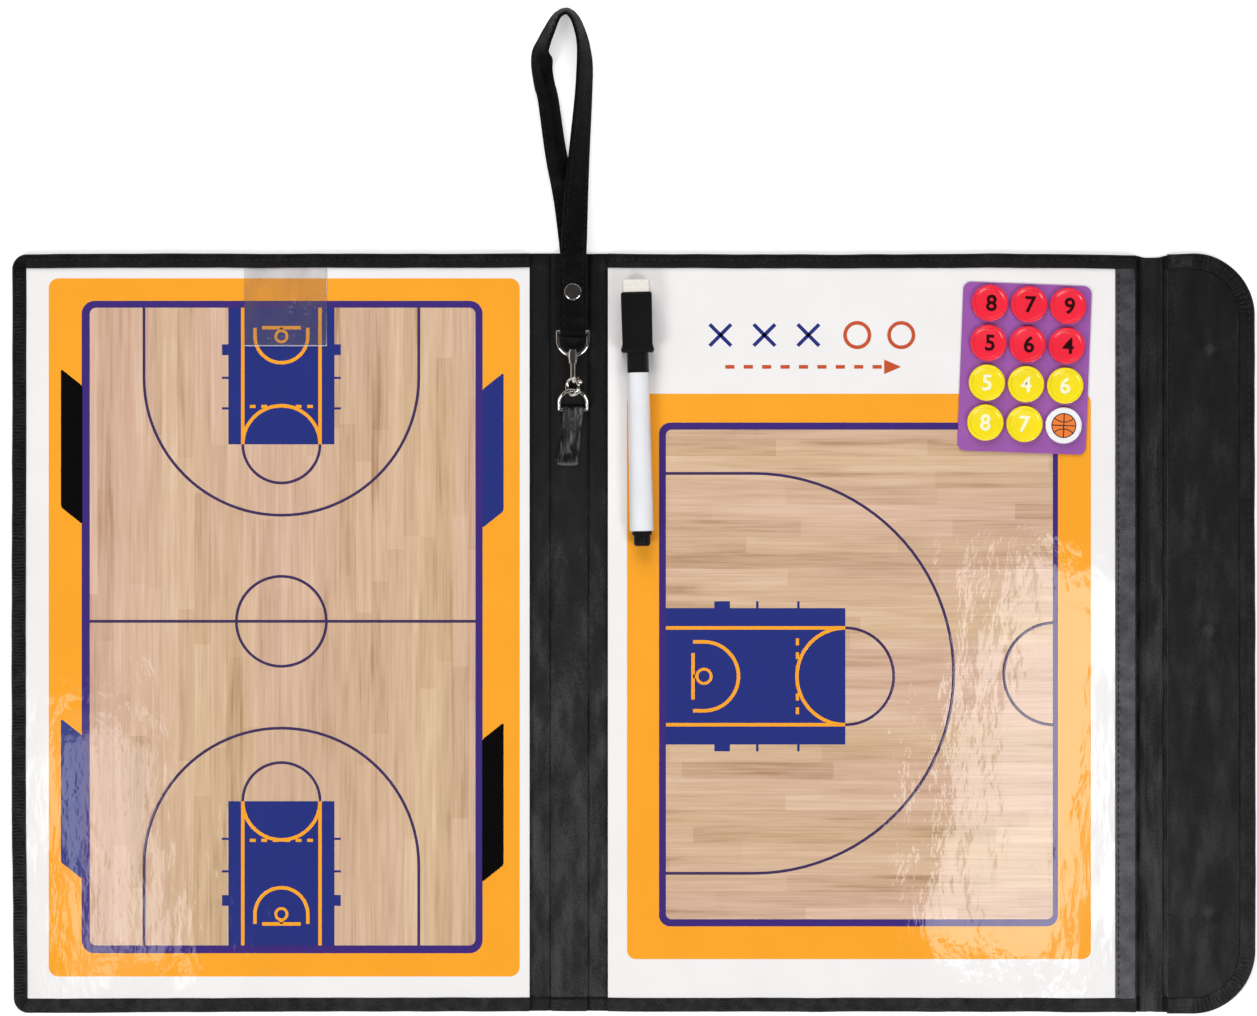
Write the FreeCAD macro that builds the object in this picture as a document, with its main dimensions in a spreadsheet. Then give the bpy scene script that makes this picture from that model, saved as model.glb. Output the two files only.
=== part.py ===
"""Folding tactics board: a leather-covered folder with two court panels, a wrist strap, a pen and magnets.

Frame: X to the right across the open folder, Y up the page, Z out of the writing faces.
The origin is the middle of the base panel's back face, which lies on the table.
All sizes are millimetres and degrees.
"""

import FreeCAD
import Part
import Sketcher
import math
import os
import re

# Driving dimensions, kept in the spreadsheet
DIMENSIONS = {
    # panels and folds, from left to right across the open folder
    "panel_height": 310.5,
    "cover_setback": 4.3,
    "cover_fold_width": 9,
    "spine_width": 14.5,
    "spine_fold_width": 8.6,
    "base_width": 216,
    "gusset_fold_width": 1.8,
    "gusset_width": 9.5,
    "flap_fold_width": 1.8,
    "flap_width": 35.8,
    "flap_overhang": 1,
    "flap_corner_radius": 26,
    "cover_corner_radius": 5,
    # layers of the panels
    "skin_thickness": 0.8,
    "lining_thickness": 0.7,
    "board_thickness": 2,
    "steel_thickness": 0.3,
    "print_thickness": 0.4,
    "spine_stiffener_thickness": 1.2,
    "flap_board_thickness": 0.8,
    "hem_width": 5.85,
    "flap_hem_width": 6.5,
    "hem_roll_radius": 1.1,
    "board_clearance": 0.2,
    "flap_strip_width": 8.5,
    # closure magnets in the flap and their steel keepers in the cover
    "closure_radius": 6,
    "closure_pitch": 115,
    "closure_inset": 18.3,
    "closure_clearance": 0.15,
    # clear paper tab under the top hem of the cover
    "clear_tab_width": 34,
    "clear_tab_drop": 32,
    "clear_tab_tuck": 3,
    "clear_tab_thickness": 0.35,
    "clear_tab_shift": 6.1,
    "clear_tab_corner_radius": 1,
    # leather tab and its ring on the spine
    "strap_offset": 5.7,
    "ring_drop": 63.75,
    "leather_tab_length": 23,
    "leather_tab_width": 8.6,
    "leather_tab_ply": 0.6,
    "wire_radius": 0.75,
    "wire_clearance": 0.1,
    "ring_radius": 5.7,
    "ring_side": 2.6,
    "ring_tilt": 19.5,
    # snap hook
    "claw_radius": 3.4,
    "claw_wire_radius": 0.9,
    "claw_reach": 1.4,
    "claw_mouth_low": -20,
    "claw_mouth_high": 55,
    "hook_roll": -45,
    "shank_radius": 1.15,
    "shank_length": 6.2,
    "collar_radius": 1.9,
    "collar_length": 1.5,
    "swivel_post_radius": 1.0,
    "swivel_head_radius": 1.7,
    "swivel_head_length": 0.8,
    "swivel_clearance": 0.08,
    "boss_radius": 2.2,
    "boss_length": 3.2,
    "eye_side": 3.5,
    "eye_side_clearance": 0.25,
    "gate_wire_radius": 0.72,
    "gate_gap_angle": 33,
    "gate_eye_radius": 1.05,
    "gate_eye_height": 1.0,
    "gate_ear_radius": 1.25,
    "gate_ear_height": 0.7,
    "gate_pin_radius": 0.45,
    "gate_pin_clearance": 0.05,
    "gate_pin_head_radius": 0.7,
    "gate_pin_head_length": 0.25,
    "gate_play": 0.08,
    "thumb_radius": 1.0,
    "thumb_reach": 2.3,
    "thumb_angle": 24,
    # wrist strap and its rivet
    "strap_width": 10.4,
    "strap_thickness": 1.3,
    "strap_straight": 19.8,
    "strap_loop_length": 111.2,
    "strap_loop_swell": 16.6,
    "strap_loop_lean": 3.2,
    "strap_loop_tilt": 62,
    "strap_loop_lift": 3.2,
    "strap_tail": 9,
    "strap_end_gap": 4,
    "rivet_setback": 3.6,
    "rivet_post_radius": 1.2,
    "rivet_head_radius": 3.5,
    "rivet_head_thickness": 0.6,
    "rivet_tail_radius": 3,
    "rivet_pin_radius": 0.8,
    "rivet_clearance": 0.06,
    # pen
    "pen_side_gap": 14,
    "pen_top_gap": 3.3,
    "pen_tilt": 1.35,
    "plug_length": 6.1,
    "plug_radius": 3.4,
    "plug_collar_radius": 4.1,
    "plug_collar_length": 1.6,
    "plug_depth": 6,
    "barrel_length": 65,
    "barrel_foot_radius": 4.9,
    "barrel_neck_radius": 4.4,
    "barrel_wall": 1.0,
    "grip_radius": 3.35,
    "grip_length": 14,
    "grip_depth": 8,
    "grip_bore_radius": 1.6,
    "nib_radius": 1.5,
    "nib_length": 5,
    "reservoir_radius": 2.9,
    "reservoir_gap": 3,
    "cap_neck_length": 8.6,
    "cap_neck_radius": 4.4,
    "cap_bore_radius": 3.6,
    "cap_bore_depth": 27,
    "cap_block_length": 25.4,
    "cap_block_width": 13.3,
    "cap_block_depth": 10.4,
    "cap_block_radius": 2.2,
    "cap_magnet_width": 8,
    "cap_magnet_length": 12,
    "cap_magnet_thickness": 1.1,
    "cap_magnet_inset": 5,
    "eraser_length": 5.3,
    "eraser_width": 11.5,
    "eraser_depth": 8.6,
    "eraser_radius": 1.2,
    "eraser_socket": 3,
    "pen_clearance": 0.1,
    # magnet card and playing magnets
    "card_side_gap": 10.9,
    "card_top_gap": 6.5,
    "card_tilt": -2.2,
    "card_width": 52.5,
    "card_height": 69,
    "card_thickness": 0.8,
    "card_corner_radius": 3.2,
    "grid_shift_x": 0.7,
    "grid_shift_y": 1.6,
    "magnet_pitch_x": 16,
    "magnet_pitch_y": 16.3,
    "magnet_radius": 7.4,
    "magnet_thickness": 2.2,
    "magnet_rim_width": 1.3,
    "magnet_recess": 0.35,
    "magnet_edge_radius": 0.45,
    # every cut runs past the faces that it opens by this much
    "overrun": 1,
}

# Values worked out from the driving dimensions, as formulas of the sheet's names
DERIVED = {
    "half_height": "panel_height / 2",
    "inner_height": "half_height - hem_width",
    "cover_width": "base_width - cover_setback",
    "flap_height": "panel_height + flap_overhang",
    "sheet_top": "skin_thickness + board_thickness + steel_thickness + print_thickness",
    "hem_top": "sheet_top + skin_thickness",
    "spine_top": "skin_thickness + spine_stiffener_thickness + lining_thickness",
    "leather_pair": "skin_thickness + lining_thickness",
    "flap_top": "skin_thickness + flap_board_thickness + lining_thickness",
    "wall": "skin_thickness + board_clearance",
    "base_left": "-base_width / 2",
    "spine_right": "base_left - spine_fold_width",
    "spine_left": "spine_right - spine_width",
    "cover_right": "spine_left - cover_fold_width",
    "cover_left": "cover_right - cover_width",
    "base_right": "base_width / 2",
    "gusset_left": "base_right + gusset_fold_width",
    "gusset_right": "gusset_left + gusset_width",
    "flap_left": "gusset_right + flap_fold_width",
    "fold_axis_height": "skin_thickness",
    "spine_axis": "base_left - spine_fold_width / 2",
    "cover_axis": "spine_left - cover_fold_width / 2",
    "gusset_axis": "base_right + gusset_fold_width / 2",
    "flap_axis": "gusset_right + flap_fold_width / 2",
    "flap_magnet_reach": "flap_left + flap_width - closure_inset - flap_axis",
    "keeper_x": "cover_axis - (gusset_axis - flap_magnet_reach - spine_axis)",
    "clear_tab_centre": "cover_width / 2 + clear_tab_shift",
    "strap_x": "spine_right - strap_offset",
    "ring_bar_height": "half_height - ring_drop",
    "tab_eye_radius": "wire_radius + wire_clearance",
    "tab_eye_outer": "tab_eye_radius + leather_tab_ply",
    "ring_z": "spine_top + tab_eye_outer",
    "ring_apex": "ring_side + ring_radius",
    "claw_y": "ring_bar_height + ring_apex * cos(ring_tilt) + claw_reach",
    "hook_z": "ring_z + ring_apex * sin(ring_tilt)",
    "collar_low": "claw_radius + shank_length",
    "boss_low": "collar_low + collar_length + swivel_clearance",
    "boss_high": "boss_low + boss_length",
    "head_low": "boss_high + swivel_clearance",
    "head_high": "head_low + swivel_head_length",
    "eye_radius": "strap_width / 2 + eye_side_clearance + wire_radius",
    "eye_arc_y": "claw_y + boss_low + boss_length / 2",
    "eye_bar_y": "eye_arc_y + eye_radius + eye_side",
    "strap_loop_start": "eye_bar_y + strap_straight",
    "rivet_height": "strap_loop_start - rivet_setback",
    "strap_wrap_inner": "wire_radius + wire_clearance",
    "strap_wrap_outer": "strap_wrap_inner + strap_thickness",
    "strap_floor": "hook_z - strap_wrap_outer",
    "strap_layer": "strap_floor + strap_thickness / 2",
    "strap_top_layer": "hook_z + strap_wrap_inner + strap_thickness / 2",
    "pen_length": "cap_top + eraser_length",
    "pen_foot_x": "base_left + pen_side_gap",
    "pen_foot_y": "inner_height - pen_top_gap - pen_length * cos(pen_tilt)",
    "pen_z": "sheet_top + cap_block_depth / 2",
    "barrel_bore": "barrel_neck_radius - barrel_wall",
    "reservoir_low": "plug_length + plug_depth",
    "grip_low": "barrel_top - grip_depth",
    "reservoir_high": "grip_low - reservoir_gap",
    "nib_low": "reservoir_high + pen_clearance",
    "grip_high": "barrel_top + grip_length",
    "barrel_top": "plug_length + barrel_length",
    "cap_block_low": "barrel_top + cap_neck_length",
    "cap_top": "cap_block_low + cap_block_length",
    "card_x": "base_right - flap_strip_width - card_side_gap - card_width / 2",
    "card_y": "inner_height - card_top_gap - card_height / 2",
    "card_top": "sheet_top + card_thickness",
}
NAMES = re.compile(r"\b[a-z][a-z0-9_]*\b")

doc = FreeCAD.newDocument("tactics_board")
sheet = doc.addObject("Spreadsheet::Sheet", "dims")
for row, (alias, size) in enumerate(DIMENSIONS.items(), start=1):
    sheet.set(f"A{row}", alias)
    sheet.set(f"B{row}", str(size))
    sheet.setAlias(f"B{row}", alias)
doc.recompute()

parts = {}


def formula(text):
    """A formula of plain size names, with each name turned into its spreadsheet cell."""

    def cell(match):
        word = match.group(0)
        if word in DERIVED:
            return f"({formula(DERIVED[word])})"
        return f"dims.{word}" if word in DIMENSIONS else word

    return NAMES.sub(cell, str(text))


def size_of(text):
    """The present value of a formula of size names."""
    return float(sheet.evalExpression(formula(text)))


def bind(thing, formulas):
    """Ties properties of an object to formulas of the sheet's sizes."""
    for name, text in formulas.items():
        thing.setExpression(name, formula(text))


def place(thing, x, y, z, axis=None, angle=None):
    """Ties an object's place, and its turn about an axis, to the sheet's sizes."""
    if axis:
        thing.Placement = FreeCAD.Placement(FreeCAD.Vector(), FreeCAD.Rotation(FreeCAD.Vector(*axis), 1))
        bind(thing, {"Placement.Rotation.Angle": angle})
    bind(thing, {"Placement.Base.x": x, "Placement.Base.y": y, "Placement.Base.z": z})
    return thing


def keep(thing, label):
    """Names a finished sub-part, so that it is checked and written."""
    thing.Label = label
    parts[label] = thing
    return thing


# Sketch and feature helpers


def new_body(label):
    return keep(doc.addObject("PartDesign::Body", label), label)


def new_sketch(body, name, role, lift="0"):
    """An empty sketch on one of the body's own origin planes, lifted along its normal."""
    sketch = body.newObject("Sketcher::SketchObject", name)
    plane = next(f for f in body.Origin.OriginFeatures if f.Role == role)
    sketch.AttachmentSupport = (plane, [""])
    sketch.MapMode = "FlatFace"
    bind(sketch, {"AttachmentOffset.Base.z": lift})
    return sketch


def pin_point(sketch, line, end, across, up):
    """Holds one end of a sketch line at two distances from the sketch's origin, each a formula."""
    for kind, axis, text in (("DistanceX", -2, across), ("DistanceY", -1, up)):
        if text == "0":
            sketch.addConstraint(Sketcher.Constraint("PointOnObject", line, end, axis))
            continue
        index = sketch.addConstraint(Sketcher.Constraint(kind, -1, 1, line, end, size_of(text)))
        sketch.setExpression(f"Constraints[{index}]", formula(text))


def polygon(body, name, role, points, lift="0"):
    """A closed outline of straight lines through points, each given as two formulas."""
    sketch = new_sketch(body, name, role, lift)
    corners = [FreeCAD.Vector(size_of(u), size_of(v), 0) for u, v in points]
    for start, stop in zip(corners, corners[1:] + corners[:1]):
        sketch.addGeometry(Part.LineSegment(start, stop))
    count = len(points)
    for i in range(count):
        sketch.addConstraint(Sketcher.Constraint("Coincident", i, 2, (i + 1) % count, 1))
    for i, (u, v) in enumerate(points):
        pin_point(sketch, i, 1, u, v)
    return sketch


def rectangle(body, name, role, low, high, lift="0"):
    (u0, v0), (u1, v1) = low, high
    return polygon(body, name, role, [(u0, v0), (u1, v0), (u1, v1), (u0, v1)], lift)


def circles(body, name, role, centres, radius, lift="0"):
    sketch = new_sketch(body, name, role, lift)
    for i, (u, v) in enumerate(centres):
        centre = FreeCAD.Vector(size_of(u), size_of(v), 0)
        sketch.addGeometry(Part.Circle(centre, FreeCAD.Vector(0, 0, 1), size_of(radius)))
        pin_point(sketch, i, 3, u, v)
        index = sketch.addConstraint(Sketcher.Constraint("Radius", i, size_of(radius)))
        sketch.setExpression(f"Constraints[{index}]", formula(radius))
    return sketch


def pad(body, sketch, length):
    feature = body.newObject("PartDesign::Pad", f"{sketch.Name}_pad")
    feature.Profile = sketch
    bind(feature, {"Length": length})
    doc.recompute()
    return feature


def pocket(body, sketch, length, along_normal):
    """Cuts a sketch into the body, along the sketch's normal or against it, and makes sure that it cut."""
    before = body.Shape.Volume
    feature = body.newObject("PartDesign::Pocket", f"{sketch.Name}_pocket")
    feature.Profile = sketch
    feature.Reversed = along_normal
    bind(feature, {"Length": length})
    doc.recompute()
    if not body.Shape.Volume < before:
        raise RuntimeError(f"{feature.Name} cut nothing")
    return feature


def revolution(body, sketch):
    """A full turn of a half outline about the sketch's vertical axis."""
    feature = body.newObject("PartDesign::Revolution", f"{sketch.Name}_turn")
    feature.Profile = sketch
    feature.ReferenceAxis = (sketch, ["V_Axis"])
    feature.Angle = 360
    doc.recompute()
    return feature


def round_edges(body, name, radius, wanted):
    """Fillets the edges of the body's tip whose middle point passes the wanted test."""
    doc.recompute()
    tip = body.Tip
    names = []
    for number, edge in enumerate(tip.Shape.Edges, start=1):
        middle = edge.valueAt((edge.FirstParameter + edge.LastParameter) / 2)
        if wanted(middle, edge):
            names.append(f"Edge{number}")
    if not names:
        raise RuntimeError(f"{name} found no edge")
    feature = body.newObject("PartDesign::Fillet", name)
    feature.Base = (tip, names)
    bind(feature, {"Radius": radius})
    doc.recompute()
    return feature


def near(a, b):
    return abs(a - b) < size_of("board_clearance") / 4


def upright(edge):
    """True for a straight edge that runs along Z."""
    direction = edge.tangentAt(edge.FirstParameter)
    return abs(direction.z) > 1 - 1e-6


# Plain layers: boards, sheets and linings, each a padded rectangle


def slab(label, width, height, thickness, corner, turn=None, rounded=None, radius=None):
    """A flat layer whose lower left corner stands at corner, turned about Z by turn where that is given.

    rounded is "left", "right" or "all": the upright edges on those sides get the radius.
    """
    body = new_body(label)
    place(body, *corner, (0, 0, 1) if turn else None, turn)
    outline = rectangle(body, f"{label}_outline", "XY_Plane", ("0", "0"), (width, height))
    pad(body, outline, thickness)
    if rounded:
        edge_x = size_of(width)

        def at_corner(middle, edge):
            at_left, at_right = near(middle.x, 0), near(middle.x, edge_x)
            side = {"left": at_left, "right": at_right, "all": at_left or at_right}[rounded]
            return upright(edge) and side

        round_edges(body, f"{label}_corners", radius, at_corner)
    return body


def plate(label, left, right, low, high, floor, thickness, rounded=None, radius=None):
    """A layer square to the panels, between two X and two Y places."""
    width, height = f"({right}) - ({left})", f"({high}) - ({low})"
    return slab(label, width, height, thickness, (left, low, floor), None, rounded, radius)


def hemmed_skin(label, left, width, height, stack_top, hem, closed_side=None, radius=None):
    """A leather skin turned over its edges: a floor, walls and an inward lip round a cavity for the layers.

    The hem runs along the top and bottom edges, and along closed_side where that is given.
    """
    body = new_body(label)
    place(body, left, f"-({height}) / 2", "0")
    top = f"({stack_top}) + skin_thickness"
    outline = rectangle(body, f"{label}_outline", "XY_Plane", ("0", "0"), (width, height))
    pad(body, outline, top)
    cavity = rectangle(
        body,
        f"{label}_cavity",
        "YZ_Plane",
        ("skin_thickness", "skin_thickness"),
        (f"({height}) - skin_thickness", stack_top),
        width if closed_side == "left" else "0",
    )
    cavity_length = f"({width}) - skin_thickness" if closed_side else width
    pocket(body, cavity, cavity_length, closed_side != "left")
    window = rectangle(
        body,
        f"{label}_window",
        "XY_Plane",
        (hem if closed_side == "left" else "0", hem),
        (f"({width}) - ({hem})" if closed_side == "right" else width, f"({height}) - ({hem})"),
        stack_top,
    )
    pocket(body, window, "skin_thickness", True)
    x_end, y_end, z_end = size_of(width), size_of(height), size_of(top)
    depths = {"cavity": "skin_thickness", "outer": "0"}
    if closed_side == "right":
        depths = {"window": hem, **depths}
    if closed_side:
        for name, depth in depths.items():
            inset = size_of(depth)
            corner_x = inset if closed_side == "left" else x_end - inset
            round_edges(
                body, f"{label}_{name}_corners", f"({radius}) - ({depth})",
                lambda m, e: upright(e) and near(m.x, corner_x),
            )
    closed_x = {"left": 0, "right": x_end}.get(closed_side)

    def outer_rim(middle, edge):
        """The upper edges of the outline, without the lip's edges and the ends that meet a fold."""
        if not near(middle.z, z_end):
            return False
        if edge.Curve.TypeId == "Part::GeomCircle":
            return near(edge.Curve.Radius, size_of(radius))
        on_long_edge = near(middle.y, 0) or near(middle.y, y_end)
        return on_long_edge or (closed_side and near(middle.x, closed_x))

    round_edges(body, f"{label}_roll", "hem_roll_radius", outer_rim)
    return body


def layer_span(height):
    """Lower and upper edge of a layer that lies inside a hemmed skin of that height."""
    return f"-({height}) / 2 + wall", f"({height}) / 2 - wall"


# Cover: the left panel


def make_cover():
    low, high = layer_span("panel_height")
    left = "cover_left + wall"
    radius = "cover_corner_radius - wall"
    skin = hemmed_skin(
        "cover_skin", "cover_left", "cover_width", "panel_height", "sheet_top", "hem_width",
        "left", "cover_corner_radius",
    )
    slot = rectangle(
        skin,
        "clear_tab_slot",
        "XY_Plane",
        ("clear_tab_centre - clear_tab_width / 2 - board_clearance", "panel_height - hem_width - overrun"),
        (
            "clear_tab_centre + clear_tab_width / 2 + board_clearance",
            "panel_height - hem_width + clear_tab_tuck + board_clearance",
        ),
        "sheet_top",
    )
    pocket(skin, slot, "clear_tab_thickness + closure_clearance", True)
    board = plate(
        "cover_board", left, "cover_right", low, high, "skin_thickness", "board_thickness", "left", radius
    )
    keeper_places = [
        (f"keeper_x - ({left})", f"half_height - wall + ({step}) * closure_pitch") for step in (-1, 0, 1)
    ]
    holes = circles(
        board, "keeper_holes", "XY_Plane", keeper_places, "closure_radius + closure_clearance"
    )
    pocket(board, holes, "board_thickness", True)
    steel_floor = "skin_thickness + board_thickness"
    plate(
        "cover_steel_sheet", left, "cover_right", low, high, steel_floor, "steel_thickness", "left", radius
    )
    plate(
        "cover_court_sheet", left, "cover_right", low, high, f"{steel_floor} + steel_thickness",
        "print_thickness", "left", radius,
    )
    disc_set("cover_keepers", "keeper_x", "skin_thickness", "board_thickness")
    tab_left = "cover_left + clear_tab_centre - clear_tab_width / 2"
    tab = plate(
        "clear_paper_tab",
        tab_left,
        f"{tab_left} + clear_tab_width",
        "half_height - hem_width - clear_tab_drop",
        "half_height - hem_width + clear_tab_tuck",
        "sheet_top",
        "clear_tab_thickness",
    )
    round_edges(
        tab, "clear_paper_tab_corners", "clear_tab_corner_radius", lambda m, e: upright(e) and near(m.y, 0)
    )


def disc_set(label, x, floor, thickness):
    """Three like discs in a row along Y, as one node of separate solids."""
    discs = []
    for step in (-1, 0, 1):
        disc = doc.addObject("Part::Cylinder", f"{label}_disc")
        bind(disc, {"Radius": "closure_radius", "Height": thickness})
        discs.append(place(disc, x, f"({step}) * closure_pitch", floor))
    group = doc.addObject("Part::Compound", label)
    group.Links = discs
    return keep(group, label)


# Spine between the two folds, and the fold leathers on both sides of it


def make_spine():
    low, high = layer_span("panel_height")
    hemmed_skin("spine_skin", "spine_left", "spine_width", "panel_height", "spine_top", "hem_width")
    plate(
        "spine_stiffener", "spine_left", "spine_right", low, high, "skin_thickness",
        "spine_stiffener_thickness",
    )
    lining_floor = "skin_thickness + spine_stiffener_thickness"
    plate("spine_lining", "spine_left", "spine_right", low, high, lining_floor, "lining_thickness")
    fold_leather("cover_fold_leather", "cover_right", "spine_left", "panel_height")
    fold_leather("spine_fold_leather", "spine_right", "base_left", "panel_height")


def fold_leather(label, left, right, height):
    """The bare strip of leather, skin and lining together, that bends between two stiff panels."""
    return plate(label, left, right, f"-({height}) / 2", f"({height}) / 2", "0", "leather_pair")


# Base: the right panel


def make_base():
    low, high = layer_span("panel_height")
    hemmed_skin("base_skin", "base_left", "base_width", "panel_height", "sheet_top", "hem_width")
    steel_floor = "skin_thickness + board_thickness"
    layers = (
        ("base_board", "skin_thickness", "board_thickness"),
        ("base_steel_sheet", steel_floor, "steel_thickness"),
        ("base_court_sheet", f"{steel_floor} + steel_thickness", "print_thickness"),
    )
    for label, floor, thickness in layers:
        plate(label, "base_left", "base_right", low, high, floor, thickness)
    plate(
        "base_flap_strip",
        "base_right - flap_strip_width",
        "base_right",
        "-half_height + hem_width + board_clearance",
        "half_height - hem_width - board_clearance",
        "sheet_top",
        "lining_thickness",
    )


# Gusset and flap: the closing side


def make_flap():
    gusset = ("gusset_left", "gusset_right", "-half_height", "half_height")
    plate("gusset_skin", *gusset, "0", "skin_thickness")
    plate("gusset_lining", *gusset, "skin_thickness", "lining_thickness")
    fold_leather("gusset_fold_leather", "base_right", "gusset_left", "panel_height")
    fold_leather("flap_fold_leather", "gusset_right", "flap_left", "panel_height")
    hemmed_skin(
        "flap_skin", "flap_left", "flap_width", "flap_height", "flap_top", "flap_hem_width",
        "right", "flap_corner_radius",
    )
    low, high = layer_span("flap_height")
    right = "flap_left + flap_width - wall"
    radius = "flap_corner_radius - wall"
    board = plate(
        "flap_board", "flap_left", right, low, high, "skin_thickness", "flap_board_thickness", "right",
        radius,
    )
    places = [
        ("flap_width - closure_inset", f"flap_height / 2 - wall + ({step}) * closure_pitch")
        for step in (-1, 0, 1)
    ]
    holes = circles(board, "magnet_holes", "XY_Plane", places, "closure_radius + closure_clearance")
    pocket(board, holes, "flap_board_thickness", True)
    lining_floor = "skin_thickness + flap_board_thickness"
    plate("flap_lining", "flap_left", right, low, high, lining_floor, "lining_thickness", "right", radius)
    disc_set(
        "flap_magnets", "flap_left + flap_width - closure_inset", "skin_thickness", "flap_board_thickness"
    )


# Wire pieces and the snap hook


def primitive(kind, name, sizes, x="0", y="0", z="0", axis=None, angle="0"):
    thing = doc.addObject(kind, name)
    bind(thing, sizes)
    return place(thing, x, y, z, axis, angle)


def fused(label, pieces):
    whole = doc.addObject("Part::MultiFuse", label)
    whole.Shapes = pieces
    return whole


def cut(label, base, tool):
    result = doc.addObject("Part::Cut", label)
    result.Base = base
    result.Tool = tool
    return result


def rod(name, radius, length, x, y, z, along):
    """A round bar along X, Y or Z that starts at the given point."""
    turns = {"x": ((0, 1, 0), "90"), "y": ((1, 0, 0), "-90"), "z": (None, "0")}
    axis, angle = turns[along]
    return primitive("Part::Cylinder", name, {"Radius": radius, "Height": length}, x, y, z, axis, angle)


def d_pieces(name, radius, side, arc_up):
    """A D of wire in the XY plane with its straight bar on the X axis: bar, sides, arc and corner balls."""
    sign = "1" if arc_up else "-1"
    bar = rod(f"{name}_bar", "wire_radius", f"2 * ({radius})", f"-({radius})", "0", "0", "x")
    pieces = [bar]
    for hand in ("-1", "1"):
        side_x = f"({hand}) * ({radius})"
        ball = {"Radius": "wire_radius"}
        pieces.append(primitive("Part::Sphere", f"{name}_corner", ball, side_x))
        start = "0" if arc_up else f"-({side})"
        pieces.append(rod(f"{name}_side", "wire_radius", side, side_x, start, "0", "y"))
    arc = {"Radius1": radius, "Radius2": "wire_radius", "Angle3": "180"}
    turn = ((0, 0, 1), "0" if arc_up else "180")
    pieces.append(
        primitive("Part::Torus", f"{name}_arc", arc, "0", f"({sign}) * ({side})", "0", *turn)
    )
    return pieces


def make_ring():
    """The leather tab with its rolled eye, and the D-ring that swings in it."""
    plies = "2 * leather_tab_ply"
    flat = primitive(
        "Part::Box",
        "leather_tab_flat",
        {"Length": "leather_tab_width", "Width": "leather_tab_length", "Height": plies},
        "strap_x - leather_tab_width / 2",
        "ring_bar_height - leather_tab_length",
        "spine_top",
    )
    eye_start = ("strap_x - leather_tab_width / 2", "ring_bar_height", "ring_z")
    roll = rod("leather_tab_roll", "tab_eye_outer", "leather_tab_width", *eye_start, "x")
    bore = rod("leather_tab_bore", "tab_eye_radius", "leather_tab_width", *eye_start, "x")
    tab = cut("leather_tab", fused("leather_tab_whole", [flat, roll]), bore)
    keep(tab, "leather_tab")
    ring = fused("tab_ring", d_pieces("tab_ring", "ring_radius", "ring_side", True))
    place(ring, "strap_x", "ring_bar_height", "ring_z", (1, 0, 0), "ring_tilt")
    keep(ring, "tab_ring")


def claw_point(angle, reach="claw_radius"):
    return f"({reach}) * cos({angle})", f"({reach}) * sin({angle})"


def make_hook():
    """The rolled snap hook: claw, shank and swivel post in one, with a slot for its gate."""
    sweep = "360 - claw_mouth_high + claw_mouth_low"
    arc = {"Radius1": "claw_radius", "Radius2": "claw_wire_radius", "Angle3": sweep}
    claw = primitive("Part::Torus", "claw_arc", arc, axis=(0, 0, 1), angle="claw_mouth_high")
    tip_x, tip_y = claw_point("claw_mouth_low")
    tip = primitive("Part::Sphere", "claw_tip", {"Radius": "claw_wire_radius"}, tip_x, tip_y)
    shank_length = "shank_length + collar_length / 2"
    shank = rod("shank", "shank_radius", shank_length, "0", "claw_radius", "0", "y")
    collar = rod("collar", "collar_radius", "collar_length", "0", "collar_low", "0", "y")
    post_length = "head_high - collar_low"
    post = rod("swivel_post", "swivel_post_radius", post_length, "0", "collar_low", "0", "y")
    swivel_head = rod("swivel_head", "swivel_head_radius", "swivel_head_length", "0", "head_low", "0", "y")
    pivot = claw_point("claw_mouth_high")
    slot_height = "gate_eye_height + 2 * gate_play"
    ear_span = f"{slot_height} + 2 * gate_ear_height"
    ears = pivot_rod("gate_ears", "gate_ear_radius", ear_span, pivot)
    whole = fused("hook_whole", [claw, tip, shank, collar, post, swivel_head, ears])
    slot = pivot_rod("gate_slot", "gate_ear_radius + gate_play", slot_height, pivot)
    pin_hole = pivot_rod("pin_hole", "gate_pin_radius", ear_span, pivot)
    hook_place(keep(cut("hook_body", cut("hook_slotted", whole, slot), pin_hole), "hook_body"))
    pin = [pivot_rod("gate_pin_rod", "gate_pin_radius", ear_span, pivot)]
    head = ("gate_pin_head_radius", "gate_pin_head_length")
    for foot in (f"({ear_span}) / 2", f"-({ear_span}) / 2 - gate_pin_head_length"):
        pin.append(rod("gate_pin_head", *head, *pivot, foot, "z"))
    hook_place(keep(fused("gate_pin", pin), "gate_pin"))


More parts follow.
